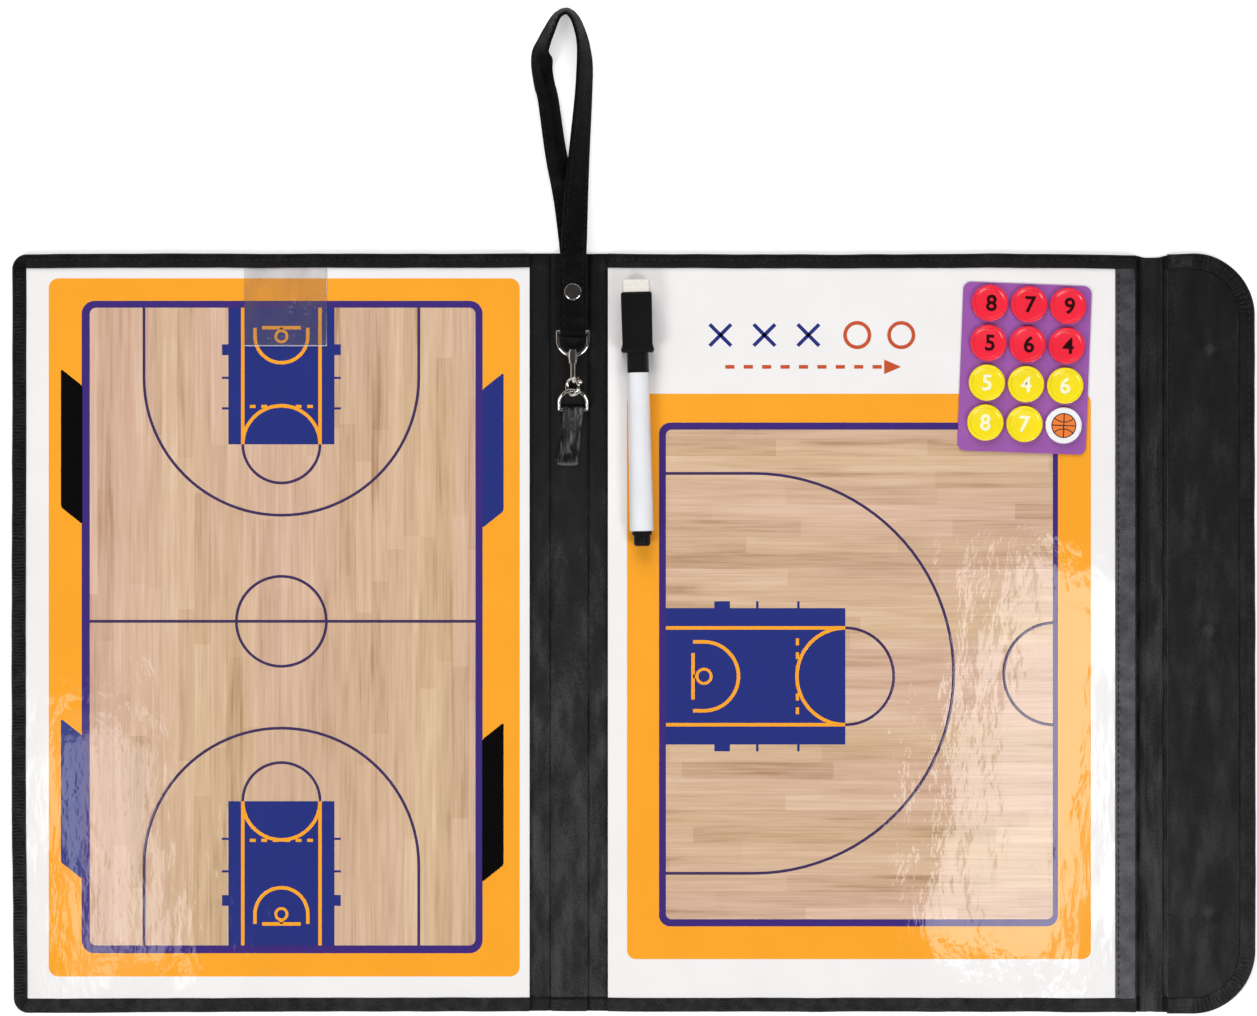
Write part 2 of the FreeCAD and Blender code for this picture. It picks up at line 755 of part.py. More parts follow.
def make_gate():
    """The sprung gate: an arc that fills the claw's mouth, an eye on the pin and a thumb knob."""
    pivot = claw_point("claw_mouth_high")
    arc_start = "claw_mouth_low + gate_gap_angle"
    arc = {
        "Radius1": "claw_radius",
        "Radius2": "gate_wire_radius",
        "Angle3": "claw_mouth_high - claw_mouth_low - gate_gap_angle",
    }
    bow = primitive("Part::Torus", "gate_arc", arc, axis=(0, 0, 1), angle=arc_start)
    tip = primitive("Part::Sphere", "gate_tip", {"Radius": "gate_wire_radius"}, *claw_point(arc_start))
    trims = []
    for side, floor in (("upper", "gate_eye_height / 2"), ("lower", "-gate_eye_height / 2 - claw_radius")):
        radius = "gate_ear_radius + gate_play"
        trims.append(rod(f"gate_trim_{side}", radius, "claw_radius", *pivot, floor, "z"))
    eye = pivot_rod("gate_eye", "gate_eye_radius", "gate_eye_height", pivot)
    knob_place = claw_point("thumb_angle", "claw_radius + thumb_reach - thumb_radius")
    thumb = primitive("Part::Sphere", "thumb_knob", {"Radius": "thumb_radius"}, *knob_place)
    trimmed = cut("gate_trimmed", bow, fused("gate_trims", trims))
    whole = fused("gate_whole", [trimmed, tip, eye, thumb])
    pin_hole = pivot_rod("gate_bore", "gate_pin_radius + gate_pin_clearance", "gate_eye_height", pivot)
    hook_place(keep(cut("hook_gate", whole, pin_hole), "hook_gate"))


def pivot_rod(name, radius, height, pivot):
    """A round bar along the gate's pivot, centred on the hook's mid plane."""
    return rod(name, radius, height, *pivot, f"-({height}) / 2", "z")


def hook_place(thing):
    """Moves a piece from the hook's own frame, claw centre at its origin, to its place on the ring."""
    return place(thing, "strap_x", "claw_y", "hook_z", (0, 1, 0), "hook_roll")


def make_eye():
    """The swivel eye: a D of wire with a bored boss that turns on the hook's post."""
    boss_y = "-eye_side - eye_radius - boss_length / 2"
    boss = rod("eye_boss", "boss_radius", "boss_length", "0", boss_y, "0", "y")
    whole = fused("eye_whole", [*d_pieces("eye", "eye_radius", "eye_side", False), boss])
    bore = rod("eye_bore", "swivel_post_radius + swivel_clearance", "boss_length", "0", boss_y, "0", "y")
    eye = keep(cut("swivel_eye", whole, bore), "swivel_eye")
    place(eye, "strap_x", "eye_bar_y", "hook_z")


# Wrist strap: a folded band that wraps the eye's bar and opens into the hand loop

STRAP_POINT_SHARE = 3.5
STRAP_TURN_SHARES = (0.28, 0.83)
STRAP_SECTIONS = 41
TANGENT_STEP = math.pi / 2000


def strap_centre(turn):
    """Centre of the hand loop after a turn of 0 to 2 pi, from the upper leg round to the middle leg."""
    rise = (1 - math.cos(turn)) / 2
    across = size_of("strap_loop_swell") * math.sin(turn) * math.sin(turn / 2) ** STRAP_POINT_SHARE
    across -= size_of("strap_loop_lean") * rise * rise
    start = (size_of("strap_top_layer") + size_of("hook_z")) / 2
    spread = (size_of("strap_top_layer") - size_of("hook_z")) / 2
    tilt = math.radians(size_of("strap_loop_tilt"))
    apex = size_of("strap_width") / 2 * math.sin(tilt) + size_of("strap_thickness") / 2 * math.cos(tilt)
    height = start + (apex - start) * rise + spread * math.cos(turn / 2)
    if turn < math.pi:
        height += size_of("strap_loop_lift") * math.sin(turn) ** 2
    length = size_of("strap_loop_start") + size_of("strap_loop_length") * rise
    return FreeCAD.Vector(size_of("strap_x") + across, length, height)


def strap_section(turn):
    """The band's cross section at that turn of the loop, as a closed wire."""
    centre = strap_centre(turn)
    if TANGENT_STEP < turn < 2 * math.pi - TANGENT_STEP:
        tangent = (strap_centre(turn + TANGENT_STEP) - strap_centre(turn - TANGENT_STEP)).normalize()
    else:
        tangent = FreeCAD.Vector(0, 1 if turn < math.pi else -1, 0)
    inward = FreeCAD.Vector(-tangent.y, tangent.x, 0).normalize()
    from_end = min(turn, 2 * math.pi - turn) / math.pi
    low, high = STRAP_TURN_SHARES
    ease = min(max((from_end - low) / (high - low), 0), 1)
    tilt = math.radians(size_of("strap_loop_tilt")) * ease * ease * (3 - 2 * ease)
    across = inward * math.cos(tilt) + FreeCAD.Vector(0, 0, math.sin(tilt))
    across = (across - tangent * across.dot(tangent)).normalize()
    normal = tangent.cross(across)
    half_width = across * (size_of("strap_width") / 2)
    half_ply = normal * (size_of("strap_thickness") / 2)
    corners = [
        centre - half_width - half_ply,
        centre + half_width - half_ply,
        centre + half_width + half_ply,
        centre - half_width + half_ply,
    ]
    return Part.makePolygon(corners + corners[:1])


def strap_run(low, high, middle):
    """A straight flat run of the band between two Y places."""
    width, ply = size_of("strap_width"), size_of("strap_thickness")
    corner = FreeCAD.Vector(size_of("strap_x") - width / 2, low, middle - ply / 2)
    return Part.makeBox(width, high - low, ply, corner)


def make_strap():
    turns = [2 * math.pi * i / (STRAP_SECTIONS - 1) for i in range(STRAP_SECTIONS)]
    loop = Part.makeLoft([strap_section(turn) for turn in turns], True, False)
    bar, start = size_of("eye_bar_y"), size_of("strap_loop_start")
    width = size_of("strap_width")
    left = FreeCAD.Vector(size_of("strap_x") - width / 2, bar, size_of("hook_z"))
    along_x = FreeCAD.Vector(1, 0, 0)
    outer, inner = size_of("strap_wrap_outer"), size_of("strap_wrap_inner")
    wrap = Part.makeCylinder(outer, width, left, along_x).cut(Part.makeCylinder(inner, width, left, along_x))
    front = Part.makeBox(width, outer, 2 * outer, left - FreeCAD.Vector(0, 0, outer))
    runs = [
        strap_run(bar, start, size_of("strap_top_layer")),
        strap_run(bar, size_of("rivet_height + strap_tail"), size_of("strap_layer")),
        strap_run(size_of("eye_bar_y + strap_wrap_outer + strap_end_gap"), start, size_of("hook_z")),
    ]
    band = loop.fuse([wrap.cut(front), *runs]).removeSplitter()
    hole_foot = FreeCAD.Vector(size_of("strap_x"), size_of("rivet_height"), size_of("strap_floor"))
    hole_radius = size_of("rivet_post_radius + rivet_clearance")
    hole = Part.makeCylinder(hole_radius, size_of("strap_top_layer") + outer, hole_foot)
    strap = doc.addObject("Part::Feature", "wrist_strap")
    strap.Shape = band.cut(hole)
    keep(strap, "wrist_strap")


def make_rivet():
    """A two-part rivet through the strap's layers: a domed cap with a tube, and a tail with a pin."""
    grip = "strap_top_layer + strap_thickness / 2 - strap_floor"
    cap = new_body("rivet_cap")
    place(cap, "strap_x", "rivet_height", "strap_floor")
    bore = "rivet_pin_radius + rivet_clearance"
    top = f"{grip} + rivet_head_thickness"
    revolution(cap, polygon(cap, "rivet_cap_half", "XZ_Plane", [
        ("0", grip), (bore, grip), (bore, "rivet_clearance"), ("rivet_post_radius", "rivet_clearance"),
        ("rivet_post_radius", grip), ("rivet_head_radius", grip), ("rivet_head_radius", top), ("0", top),
    ]))
    cap_top, cap_edge = size_of(top), size_of("rivet_head_radius")
    round_edges(
        cap, "rivet_cap_dome", "rivet_head_thickness - rivet_clearance",
        lambda m, e: near(m.z, cap_top) and near(math.hypot(m.x, m.y), cap_edge),
    )
    tail = new_body("rivet_tail")
    place(tail, "strap_x", "rivet_height", "strap_floor - rivet_head_thickness")
    pin_top = f"rivet_head_thickness + {grip} - rivet_clearance"
    revolution(tail, polygon(tail, "rivet_tail_half", "XZ_Plane", [
        ("0", "0"), ("rivet_tail_radius", "0"), ("rivet_tail_radius", "rivet_head_thickness"),
        ("rivet_pin_radius", "rivet_head_thickness"), ("rivet_pin_radius", pin_top), ("0", pin_top),
    ]))


# Pen: turned pieces about its own long axis, Y in its frame, with its foot at the origin


def pen_point(across, along):
    """Formulas of the place of a point of the pen's frame."""
    x = f"pen_foot_x + ({across}) * cos(pen_tilt) - ({along}) * sin(pen_tilt)"
    y = f"pen_foot_y + ({across}) * sin(pen_tilt) + ({along}) * cos(pen_tilt)"
    return x, y


def turned(label, points):
    """A piece of the pen, turned from its half outline."""
    body = new_body(label)
    place(body, "pen_foot_x", "pen_foot_y", "pen_z", (0, 0, 1), "pen_tilt")
    revolution(body, polygon(body, f"{label}_half", "XY_Plane", points))
    return body


def ring_edges(height, radius):
    """Test for the round edges of a turned pen piece at that height and radius."""
    at_y, at_r = size_of(height), size_of(radius)
    return lambda m, e: near(m.y, at_y) and near(math.hypot(m.x, m.z), at_r)


def make_pen():
    collar_low = "plug_length - plug_collar_length"
    stem = "barrel_bore - pen_clearance"
    plug = turned("pen_end_plug", [
        ("0", "0"), ("plug_radius", "0"), ("plug_radius", collar_low), ("plug_collar_radius", collar_low),
        ("plug_collar_radius", "plug_length"), (stem, "plug_length"), (stem, "reservoir_low"),
        ("0", "reservoir_low"),
    ])
    round_edges(plug, "pen_end_plug_rounding", "eraser_radius", ring_edges("0", "plug_radius"))
    barrel = turned("pen_barrel", [
        ("barrel_bore", "plug_length"), ("barrel_foot_radius", "plug_length"),
        ("barrel_neck_radius", "barrel_top"), ("barrel_bore", "barrel_top"),
    ])
    round_edges(
        barrel, "pen_barrel_rounding", "barrel_wall / 2", ring_edges("plug_length", "barrel_foot_radius")
    )
    turned("ink_reservoir", [
        ("0", "reservoir_low"), ("reservoir_radius", "reservoir_low"),
        ("reservoir_radius", "reservoir_high"), ("0", "reservoir_high"),
    ])
    turned("pen_nib_holder", [
        ("grip_bore_radius", "grip_low"), (stem, "grip_low"), (stem, "barrel_top"),
        ("grip_radius", "barrel_top"), ("grip_radius", "grip_high - nib_length"),
        ("nib_radius + grip_bore_radius / 2", "grip_high"), ("grip_bore_radius", "grip_high"),
    ])
    nib = turned("pen_nib", [
        ("0", "nib_low"), ("nib_radius", "nib_low"), ("nib_radius", "grip_high + nib_length"),
        ("0", "grip_high + nib_length"),
    ])
    tip = ring_edges("grip_high + nib_length", "nib_radius")
    round_edges(nib, "pen_nib_rounding", "nib_radius * 2 / 3", tip)


def make_cap():
    """The pen's cap: a block with a magnet in its foot and an eraser in its top, and a round neck."""
    x, y = pen_point("-cap_block_width / 2", "cap_block_low")
    cap = slab(
        "pen_cap", "cap_block_width", "cap_block_length", "cap_block_depth", (x, y, "sheet_top"), "pen_tilt"
    )
    wide, deep = size_of("cap_block_width"), size_of("cap_block_depth")
    round_edges(
        cap, "pen_cap_edges", "cap_block_radius",
        lambda m, e: (near(m.x, 0) or near(m.x, wide)) and (near(m.z, 0) or near(m.z, deep)),
    )
    middle = [("cap_block_width / 2", "cap_block_depth / 2")]
    pad(cap, circles(cap, "cap_neck", "XZ_Plane", middle, "cap_neck_radius"), "cap_neck_length")
    bore = circles(cap, "cap_bore", "XZ_Plane", middle, "cap_bore_radius", "cap_neck_length")
    pocket(cap, bore, "cap_bore_depth", False)
    socket = rectangle(
        cap,
        "eraser_socket",
        "XZ_Plane",
        ("(cap_block_width - eraser_width) / 2", "(cap_block_depth - eraser_depth) / 2"),
        ("(cap_block_width + eraser_width) / 2", "(cap_block_depth + eraser_depth) / 2"),
        "-cap_block_length",
    )
    pocket(cap, socket, "eraser_socket", True)
    recess = rectangle(
        cap,
        "cap_magnet_recess",
        "XY_Plane",
        ("(cap_block_width - cap_magnet_width) / 2", "cap_magnet_inset"),
        ("(cap_block_width + cap_magnet_width) / 2", "cap_magnet_inset + cap_magnet_length"),
    )
    pocket(cap, recess, "cap_magnet_thickness", True)
    slack = "pen_clearance"
    x, y = pen_point(f"-cap_magnet_width / 2 + {slack}", f"cap_block_low + cap_magnet_inset + {slack}")
    slab(
        "cap_magnet", f"cap_magnet_width - 2 * {slack}", f"cap_magnet_length - 2 * {slack}",
        "cap_magnet_thickness", (x, y, "sheet_top"), "pen_tilt",
    )
    x, y = pen_point(f"-eraser_width / 2 + {slack}", "cap_top - eraser_socket")
    floor = f"pen_z - eraser_depth / 2 + {slack}"
    eraser = slab(
        "cap_eraser", f"eraser_width - 2 * {slack}", "eraser_socket + eraser_length",
        f"eraser_depth - 2 * {slack}", (x, y, floor), "pen_tilt",
    )
    end = size_of("eraser_socket + eraser_length")
    round_edges(eraser, "cap_eraser_edges", "eraser_radius", lambda m, e: near(m.y, end))


# Magnet card and the twelve playing magnets on it


def card_point(across, up):
    """Formulas of the place of a point of the card's frame, whose origin is the card's middle."""
    x = f"card_x + ({across}) * cos(card_tilt) - ({up}) * sin(card_tilt)"
    y = f"card_y + ({across}) * sin(card_tilt) + ({up}) * cos(card_tilt)"
    return x, y


MAGNET_ROWS = (
    ("red_magnet_8", "red_magnet_7", "red_magnet_9"),
    ("red_magnet_5", "red_magnet_6", "red_magnet_4"),
    ("yellow_magnet_5", "yellow_magnet_4", "yellow_magnet_6"),
    ("yellow_magnet_8", "yellow_magnet_7", "ball_magnet"),
)


def make_magnets():
    corner = (*card_point("-card_width / 2", "-card_height / 2"), "sheet_top")
    slab(
        "magnet_card", "card_width", "card_height", "card_thickness", corner, "card_tilt", "all",
        "card_corner_radius",
    )
    for row, labels in enumerate(MAGNET_ROWS):
        for column, label in enumerate(labels):
            across = f"grid_shift_x + ({column} - 1) * magnet_pitch_x"
            up = f"grid_shift_y + (3 / 2 - {row}) * magnet_pitch_y"
            make_magnet(label, *card_point(across, up))


def make_magnet(label, x, y):
    """A round magnet: numbered ones have a raised rim, the ball one is flat."""
    body = new_body(label)
    place(body, x, y, "card_top", (0, 0, 1), "card_tilt")
    points = [("0", "0"), ("magnet_radius", "0"), ("magnet_radius", "magnet_thickness")]
    if label != "ball_magnet":
        floor = "magnet_thickness - magnet_recess"
        points.append(("magnet_radius - magnet_rim_width", "magnet_thickness"))
        points.append(("magnet_radius - magnet_rim_width - magnet_recess", floor))
        points.append(("0", floor))
    else:
        points.append(("0", "magnet_thickness"))
    revolution(body, polygon(body, f"{label}_half", "XZ_Plane", points))
    edge = size_of("magnet_radius")
    round_edges(
        body, f"{label}_rounding", "magnet_edge_radius",
        lambda m, e: near(math.hypot(m.x, m.y), edge),
    )


def write_parts():
    """Checks every object and writes each finished sub-part as its own file."""
    doc.recompute()
    for thing in doc.Objects:
        if "Invalid" in thing.State or "Error" in thing.State:
            raise RuntimeError(f"{thing.Name} did not build")
    os.makedirs("parts", exist_ok=True)
    for label, thing in parts.items():
        if thing.Shape.isNull() or not thing.Shape.isValid() or not thing.Shape.Solids:
            raise RuntimeError(f"{label} has no sound solid")
        thing.Shape.exportStep(f"parts/{label}.step")


for make in (
    make_cover,
    make_spine,
    make_base,
    make_flap,
    make_ring,
    make_hook,
    make_gate,
    make_eye,
    make_strap,
    make_rivet,
    make_pen,
    make_cap,
    make_magnets,
):
    make()
write_parts()
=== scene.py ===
"""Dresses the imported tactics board: leather, court prints, wrist strap, pen, card and magnets.

All places are metres in the row frame: X across the open folder, Y up the page, Z out of the writing faces.
"""

import math
from contextlib import contextmanager

import bmesh
import bpy
from bpy.props import FloatProperty, FloatVectorProperty, PointerProperty
from mathutils import Matrix, Vector, noise


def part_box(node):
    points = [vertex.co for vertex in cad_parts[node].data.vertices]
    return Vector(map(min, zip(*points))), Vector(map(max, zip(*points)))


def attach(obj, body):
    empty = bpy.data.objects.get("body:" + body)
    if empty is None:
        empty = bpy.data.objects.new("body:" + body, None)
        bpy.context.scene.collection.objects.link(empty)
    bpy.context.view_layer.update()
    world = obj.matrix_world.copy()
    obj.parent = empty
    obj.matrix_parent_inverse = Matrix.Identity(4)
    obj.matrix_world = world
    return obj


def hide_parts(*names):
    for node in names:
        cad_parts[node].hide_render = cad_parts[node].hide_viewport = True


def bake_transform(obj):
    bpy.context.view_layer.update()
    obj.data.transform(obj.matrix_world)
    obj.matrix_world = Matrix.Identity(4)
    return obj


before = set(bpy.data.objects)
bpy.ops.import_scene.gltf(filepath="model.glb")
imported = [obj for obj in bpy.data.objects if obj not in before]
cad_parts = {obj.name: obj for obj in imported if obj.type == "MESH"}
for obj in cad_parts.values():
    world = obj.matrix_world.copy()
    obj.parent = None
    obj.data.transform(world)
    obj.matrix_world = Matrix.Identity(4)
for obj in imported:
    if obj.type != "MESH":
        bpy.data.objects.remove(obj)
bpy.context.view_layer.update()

bl_info = {
    "name": "Folding Tactics Board",
    "version": (1, 0, 0),
    "blender": (4, 5, 0),
    "location": "3D View > Sidebar > Tactics Board",
    "description": "Leather, court prints, strap, pen and magnets over the packed tactics board",
    "category": "Add Mesh",
}

MM = 0.001
UP = Vector((0, 0, 1))

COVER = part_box("cover_skin")
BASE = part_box("base_skin")
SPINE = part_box("spine_skin")
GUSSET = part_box("gusset_skin")
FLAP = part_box("flap_skin")
FLAP_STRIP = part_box("base_flap_strip")
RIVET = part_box("rivet_cap")
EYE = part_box("swivel_eye")
SHEET_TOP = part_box("base_court_sheet")[1].z
SPINE_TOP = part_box("spine_lining")[1].z
FLAP_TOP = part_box("flap_lining")[1].z
FOLD_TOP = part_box("spine_fold_leather")[1].z


def metres(sizes):
    """Millimetres as metres: one number, or each number in a tuple or a table."""
    if isinstance(sizes, dict):
        return {name: metres(size) for name, size in sizes.items()}
    if isinstance(sizes, tuple):
        return tuple(metres(size) for size in sizes)
    return sizes * MM


# Settings that a user would change


def colour(name, description, default):
    return FloatVectorProperty(
        name=name, description=description, default=default, size=3, min=0, max=1, subtype="COLOR"
    )


def length(name, description, default):
    return FloatProperty(name=name, description=description, default=default, unit="LENGTH", precision=5)


def power(name, description, default):
    return FloatProperty(name=name, description=description, default=default, unit="POWER")


class LeatherSettings(bpy.types.PropertyGroup):
    """The black leather of the folder, its strap and its sewing."""

    shade: colour("Leather", "Colour of the black leather", (0.0095, 0.0093, 0.0102))
    # The pale end of the leather's colour, shown on worn grain and also where painted sheen and highlights
    # fall.
    worn: colour("Worn leather", "Colour of the leather where the grain is rubbed", (0.055, 0.053, 0.057))
    thread: colour("Thread", "Colour of the sewing thread", (0.02, 0.02, 0.022))
    grain: length("Grain", "Width of one pebble of the grain", 0.85 * MM)
    hem: length("Hem", "Width of the turned edge of the panels", 5.85 * MM)
    flap_hem: length("Flap hem", "Width of the turned edge of the flap", 6.5 * MM)
    lip: length("Lip", "Thickness of the turned edge", 0.8 * MM)
    roll: length("Roll", "Radius of the rolled outer edge", 1.3 * MM)
    cover_corner: length("Cover corner", "Corner radius of the cover", 6 * MM)
    flap_corner: length("Flap corner", "Corner radius of the flap", 26 * MM)
    unevenness: length("Unevenness", "How far the turned edges wander", 0.45 * MM)
    stitch: length("Stitch", "Length of one stitch", 1.9 * MM)
    stitch_pitch: length("Stitch pitch", "Distance from one stitch to the next", 2.9 * MM)
    stitch_inset: length("Stitch inset", "Distance of the sewing from a panel's edge", 2.4 * MM)


class PrintSettings(bpy.types.PropertyGroup):
    """The two dry-wipe sheets and the inks printed on them."""

    sheet: colour("Sheet", "Colour of the dry-wipe sheet", (0.86, 0.84, 0.835))
    amber: colour("Amber", "Colour of the border and the key's lines", (0.93, 0.372, 0.026))
    violet: colour("Violet", "Colour of the court's lines", (0.05, 0.026, 0.185))
    line_ink: colour("Line ink", "Colour of the thin court lines", (0.055, 0.033, 0.105))
    navy: colour("Navy", "Colour of the keys", (0.022, 0.033, 0.2))
    black: colour("Black", "Colour of the dark side tabs", (0.002, 0.002, 0.0024))
    rust: colour("Rust", "Colour of the attack marks", (0.55, 0.09, 0.03))
    plank_width: length("Plank", "Width of one plank of the printed floor", 6.6 * MM)
    plank_length: length("Plank length", "Length of one plank of the printed floor", 62 * MM)
    line: length("Line", "Width of a court line", 1.15 * MM)
    ink: length("Ink", "Thickness of one layer of ink", 0.03 * MM)


class PieceSettings(bpy.types.PropertyGroup):
    """Metal, plastic, felt and card."""

    nickel: colour("Nickel", "Colour of the plated metal", (0.72, 0.69, 0.65))
    white_plastic: colour("White plastic", "Colour of the pen's barrel", (0.8, 0.81, 0.84))
    black_plastic: colour("Black plastic", "Colour of the pen's cap", (0.007, 0.007, 0.0075))
    felt: colour("Felt", "Colour of the eraser", (0.84, 0.8, 0.73))
    card: colour("Card", "Colour of the magnet card", (0.3, 0.085, 0.375))
    red: colour("Red", "Colour of the red magnets", (0.88, 0.022, 0.05))
    yellow: colour("Yellow", "Colour of the yellow magnets", (0.92, 0.73, 0.012))
    ball: colour("Ball", "Colour of the printed ball", (0.85, 0.2, 0.03))
    film: colour("Clear film", "Tint of the clear paper tab", (0.2, 0.17, 0.16))
    dark_digit: colour("Dark digit", "Colour of the numbers on the red magnets", (0.022, 0.002, 0.003))
    pale_digit: colour("Pale digit", "Colour of the numbers on the yellow magnets", (0.92, 0.9, 0.62))
    white_magnet: colour("White magnet", "Colour of the magnet under the ball", (0.86, 0.86, 0.87))
    seam_ink: colour("Seam ink", "Colour of the ball's seams", (0.02, 0.01, 0.01))
    pen_ink: colour("Pen ink", "Colour of the pen's inked felt", (0.02, 0.02, 0.022))
    grey_card: colour("Grey card", "Colour of the stiffening boards", (0.42, 0.4, 0.37))
    steel: colour("Steel", "Colour of the steel sheets", (0.5, 0.51, 0.52))
    cap_magnet: colour("Cap magnet", "Colour of the magnet in the pen's cap", (0.3, 0.3, 0.31))
    closing_magnet: colour("Closing magnet", "Colour of the flap's magnets", (0.28, 0.28, 0.29))
    digit: length("Digit", "Height of a magnet's number", 6.5 * MM)


class StageSettings(bpy.types.PropertyGroup):
    """Camera, floor and lamps."""

    view_height: length("Camera height", "Height of the camera over the floor", 1.6)
    view_width: length("View width", "Width of the floor in view", 0.5154)
    key_power: power("Key lamp", "Power of the lamp past the top edge", 14.2)
    side_power: power("Side lamp", "Power of the lamp over the flap", 8.9)
    low_power: power("Low lamp", "Power of the lamp over the lower left", 8.9)
    window_power: power("Window", "Power of the narrow lamps that the film reflects", 0.6)
    strip_power: power("Strip", "Power of the thin lamp that rims catch", 0.9)
    surround: FloatProperty(
        name="Surround", description="Brightness of the room's even light", default=0.58, min=0
    )


class BoardSettings(bpy.types.PropertyGroup):
    """All settings of the tactics board."""

    leather: PointerProperty(type=LeatherSettings)
    print: PointerProperty(type=PrintSettings)
    pieces: PointerProperty(type=PieceSettings)
    stage: PointerProperty(type=StageSettings)


def settings():
    return bpy.context.scene.tactics_board


# Selecting and shaping


def select_only(piece):
    bpy.ops.object.select_all(action="DESELECT")
    piece.select_set(True)
    bpy.context.view_layer.objects.active = piece


@contextmanager
def editing(piece):
    """Edit mode on one piece, with nothing in it selected at first."""
    select_only(piece)
    bpy.ops.object.mode_set(mode="EDIT")
    bpy.ops.mesh.select_all(action="DESELECT")
    yield
    bpy.ops.object.mode_set(mode="OBJECT")


def pick(piece, kind, test):
    """Selects the faces or edges that pass the test, and nothing else."""
    bpy.ops.mesh.select_mode(type=kind)
    bpy.ops.mesh.select_all(action="DESELECT")
    shape = bmesh.from_edit_mesh(piece.data)
    for element in shape.faces if kind == "FACE" else shape.edges:
        if test(element):
            element.select_set(True)
    bmesh.update_edit_mesh(piece.data)


def edge_middle(edge):
    return (edge.verts[0].co + edge.verts[1].co) / 2


def pick_faces(piece, test):
    """Selects the faces whose middle and normal pass the test."""
    pick(piece, "FACE", lambda face: test(face.calc_center_median(), face.normal))


def pick_edges(piece, test):
    """Selects the edges whose middle and run pass the test."""
    pick(piece, "EDGE", lambda edge: test(edge_middle(edge), edge.verts[1].co - edge.verts[0].co))


def box_middle(piece):
    return sum((Vector(corner) for corner in piece.bound_box), Vector()) / 8


def pick_rim(piece, outward):
    """Selects the upper edges of the walls that face away from the piece's middle, or towards it."""
    middle = box_middle(piece)

    def is_rim(edge):
        tops = [face for face in edge.link_faces if face.normal.z > 0.9]
        walls = [face for face in edge.link_faces if abs(face.normal.z) < 0.1]
        at = edge_middle(edge)
        above = tops and walls and at.z > walls[0].calc_center_median().z
        return above and (walls[0].normal.dot(at - middle) > 0) == outward

    pick(piece, "EDGE", is_rim)


def faces_up(at, normal):
    return normal.z > 0.9


def is_upright(run):
    return abs(run.z) > 0.95 * run.length


def near(a, b, within=0.02 * MM):
    return abs(a - b) < within


def round_picked(radius, segments):
    """Rounds the selected edges."""
    bpy.ops.mesh.bevel(offset=radius, segments=segments, affect="EDGES")


def sink_picked(depth):
    """Extrudes the selected faces downwards."""
    bpy.ops.mesh.extrude_region_move(TRANSFORM_OT_translate={"value": (0, 0, -depth)})


def cut_away(at, normal, side="outer"):
    """Cuts off what lies on the outer or inner side of a plane, and closes the cut."""
    bpy.ops.mesh.select_all(action="SELECT")
    bpy.ops.mesh.bisect(
        plane_co=at, plane_no=normal, use_fill=True, clear_outer=side == "outer", clear_inner=side == "inner"
    )


def primitive(kind, name, **sizes):
    """A new primitive mesh, alone in the selection."""
    bpy.ops.object.select_all(action="DESELECT")
    getattr(bpy.ops.mesh, f"primitive_{kind}_add")(**sizes)
    piece = bpy.context.object
    piece.name = name
    return piece


def block(name, low, high):
    """A new box between two corners."""
    low, high = Vector(low), Vector(high)
    piece = primitive("cube", name, size=1)
    piece.location = (low + high) / 2
    piece.scale = high - low
    bpy.ops.object.transform_apply()
    return piece


def finish_with(piece, kind, **values):
    """Adds a modifier to the piece and applies it."""
    select_only(piece)
    bpy.ops.object.modifier_add(type=kind)
    modifier = piece.modifiers[-1]
    for name, value in values.items():
        setattr(modifier, name, value)
    bpy.ops.object.modifier_apply(modifier=modifier.name)


def soften(piece, width, segments=3):
    """Rounds the sharp edges of a hard piece and shades it smooth."""
    finish_with(piece, "BEVEL", width=width, segments=segments, limit_method="ANGLE")
    smooth(piece)


def smooth(piece, angle=40):
    select_only(piece)
    bpy.ops.object.shade_smooth_by_angle(angle=math.radians(angle))


def joined(name, pieces):
    """Several pieces made one object."""
    bpy.ops.object.select_all(action="DESELECT")
    for piece in pieces:
        piece.select_set(True)
    bpy.context.view_layer.objects.active = pieces[0]
    if len(pieces) > 1:
        bpy.ops.object.join()
    pieces[0].name = name
    return pieces[0]


def set_place(piece, matrix):
    """Moves a piece by a matrix and leaves the place in its mesh."""
    piece.matrix_world = matrix
    select_only(piece)
    bpy.ops.object.transform_apply()
    return piece


def copied(piece, name):
    """A copy of a piece with a mesh of its own."""
    copy = piece.copy()
    copy.data = piece.data.copy()
    copy.name = name
    bpy.context.scene.collection.objects.link(copy)
    return copy


def turned(origin, angle):
    """The frame of a piece that lies turned about the upright axis through its origin."""
    return Matrix.Translation(origin) @ Matrix.Rotation(angle, 4, "Z")


def mesh_piece(name, points, faces):
    mesh = bpy.data.meshes.new(name)
    mesh.from_pydata(points, [], faces)
    piece = bpy.data.objects.new(name, mesh)
    bpy.context.scene.collection.objects.link(piece)
    with editing(piece):
        bpy.ops.mesh.select_all(action="SELECT")
        bpy.ops.mesh.normals_make_consistent(inside=False)
    return piece


def dress(piece, material, body=None, replaces=()):
    """Gives a finished piece its material and the body that carries it."""
    piece.data.materials.clear()
    piece.data.materials.append(material)
    if body:
        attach(piece, body)
    if replaces:
        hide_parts(*replaces)
    return piece


def paint_nodes(material, *nodes):
    """Gives CAD nodes that stay in view a new material."""
    for node in nodes:
        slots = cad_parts[node].data.materials
        slots.clear()
        slots.append(material)


def ripple(x, y, wave, seed):
    """Smooth unevenness between -1 and 1 at a place, with bumps about one wave wide."""
    return noise.noise(Vector((x / wave, y / wave, seed)))


def ease(share):
    """A share from 0 to 1, slow at both ends."""
    share = min(max(share, 0), 1)
    return share * share * (3 - 2 * share)


def hump(offset, width):
    """A smooth bump, 1 high, that fades over a width to both sides."""
    return math.exp(-((offset / width) ** 2))


# Materials


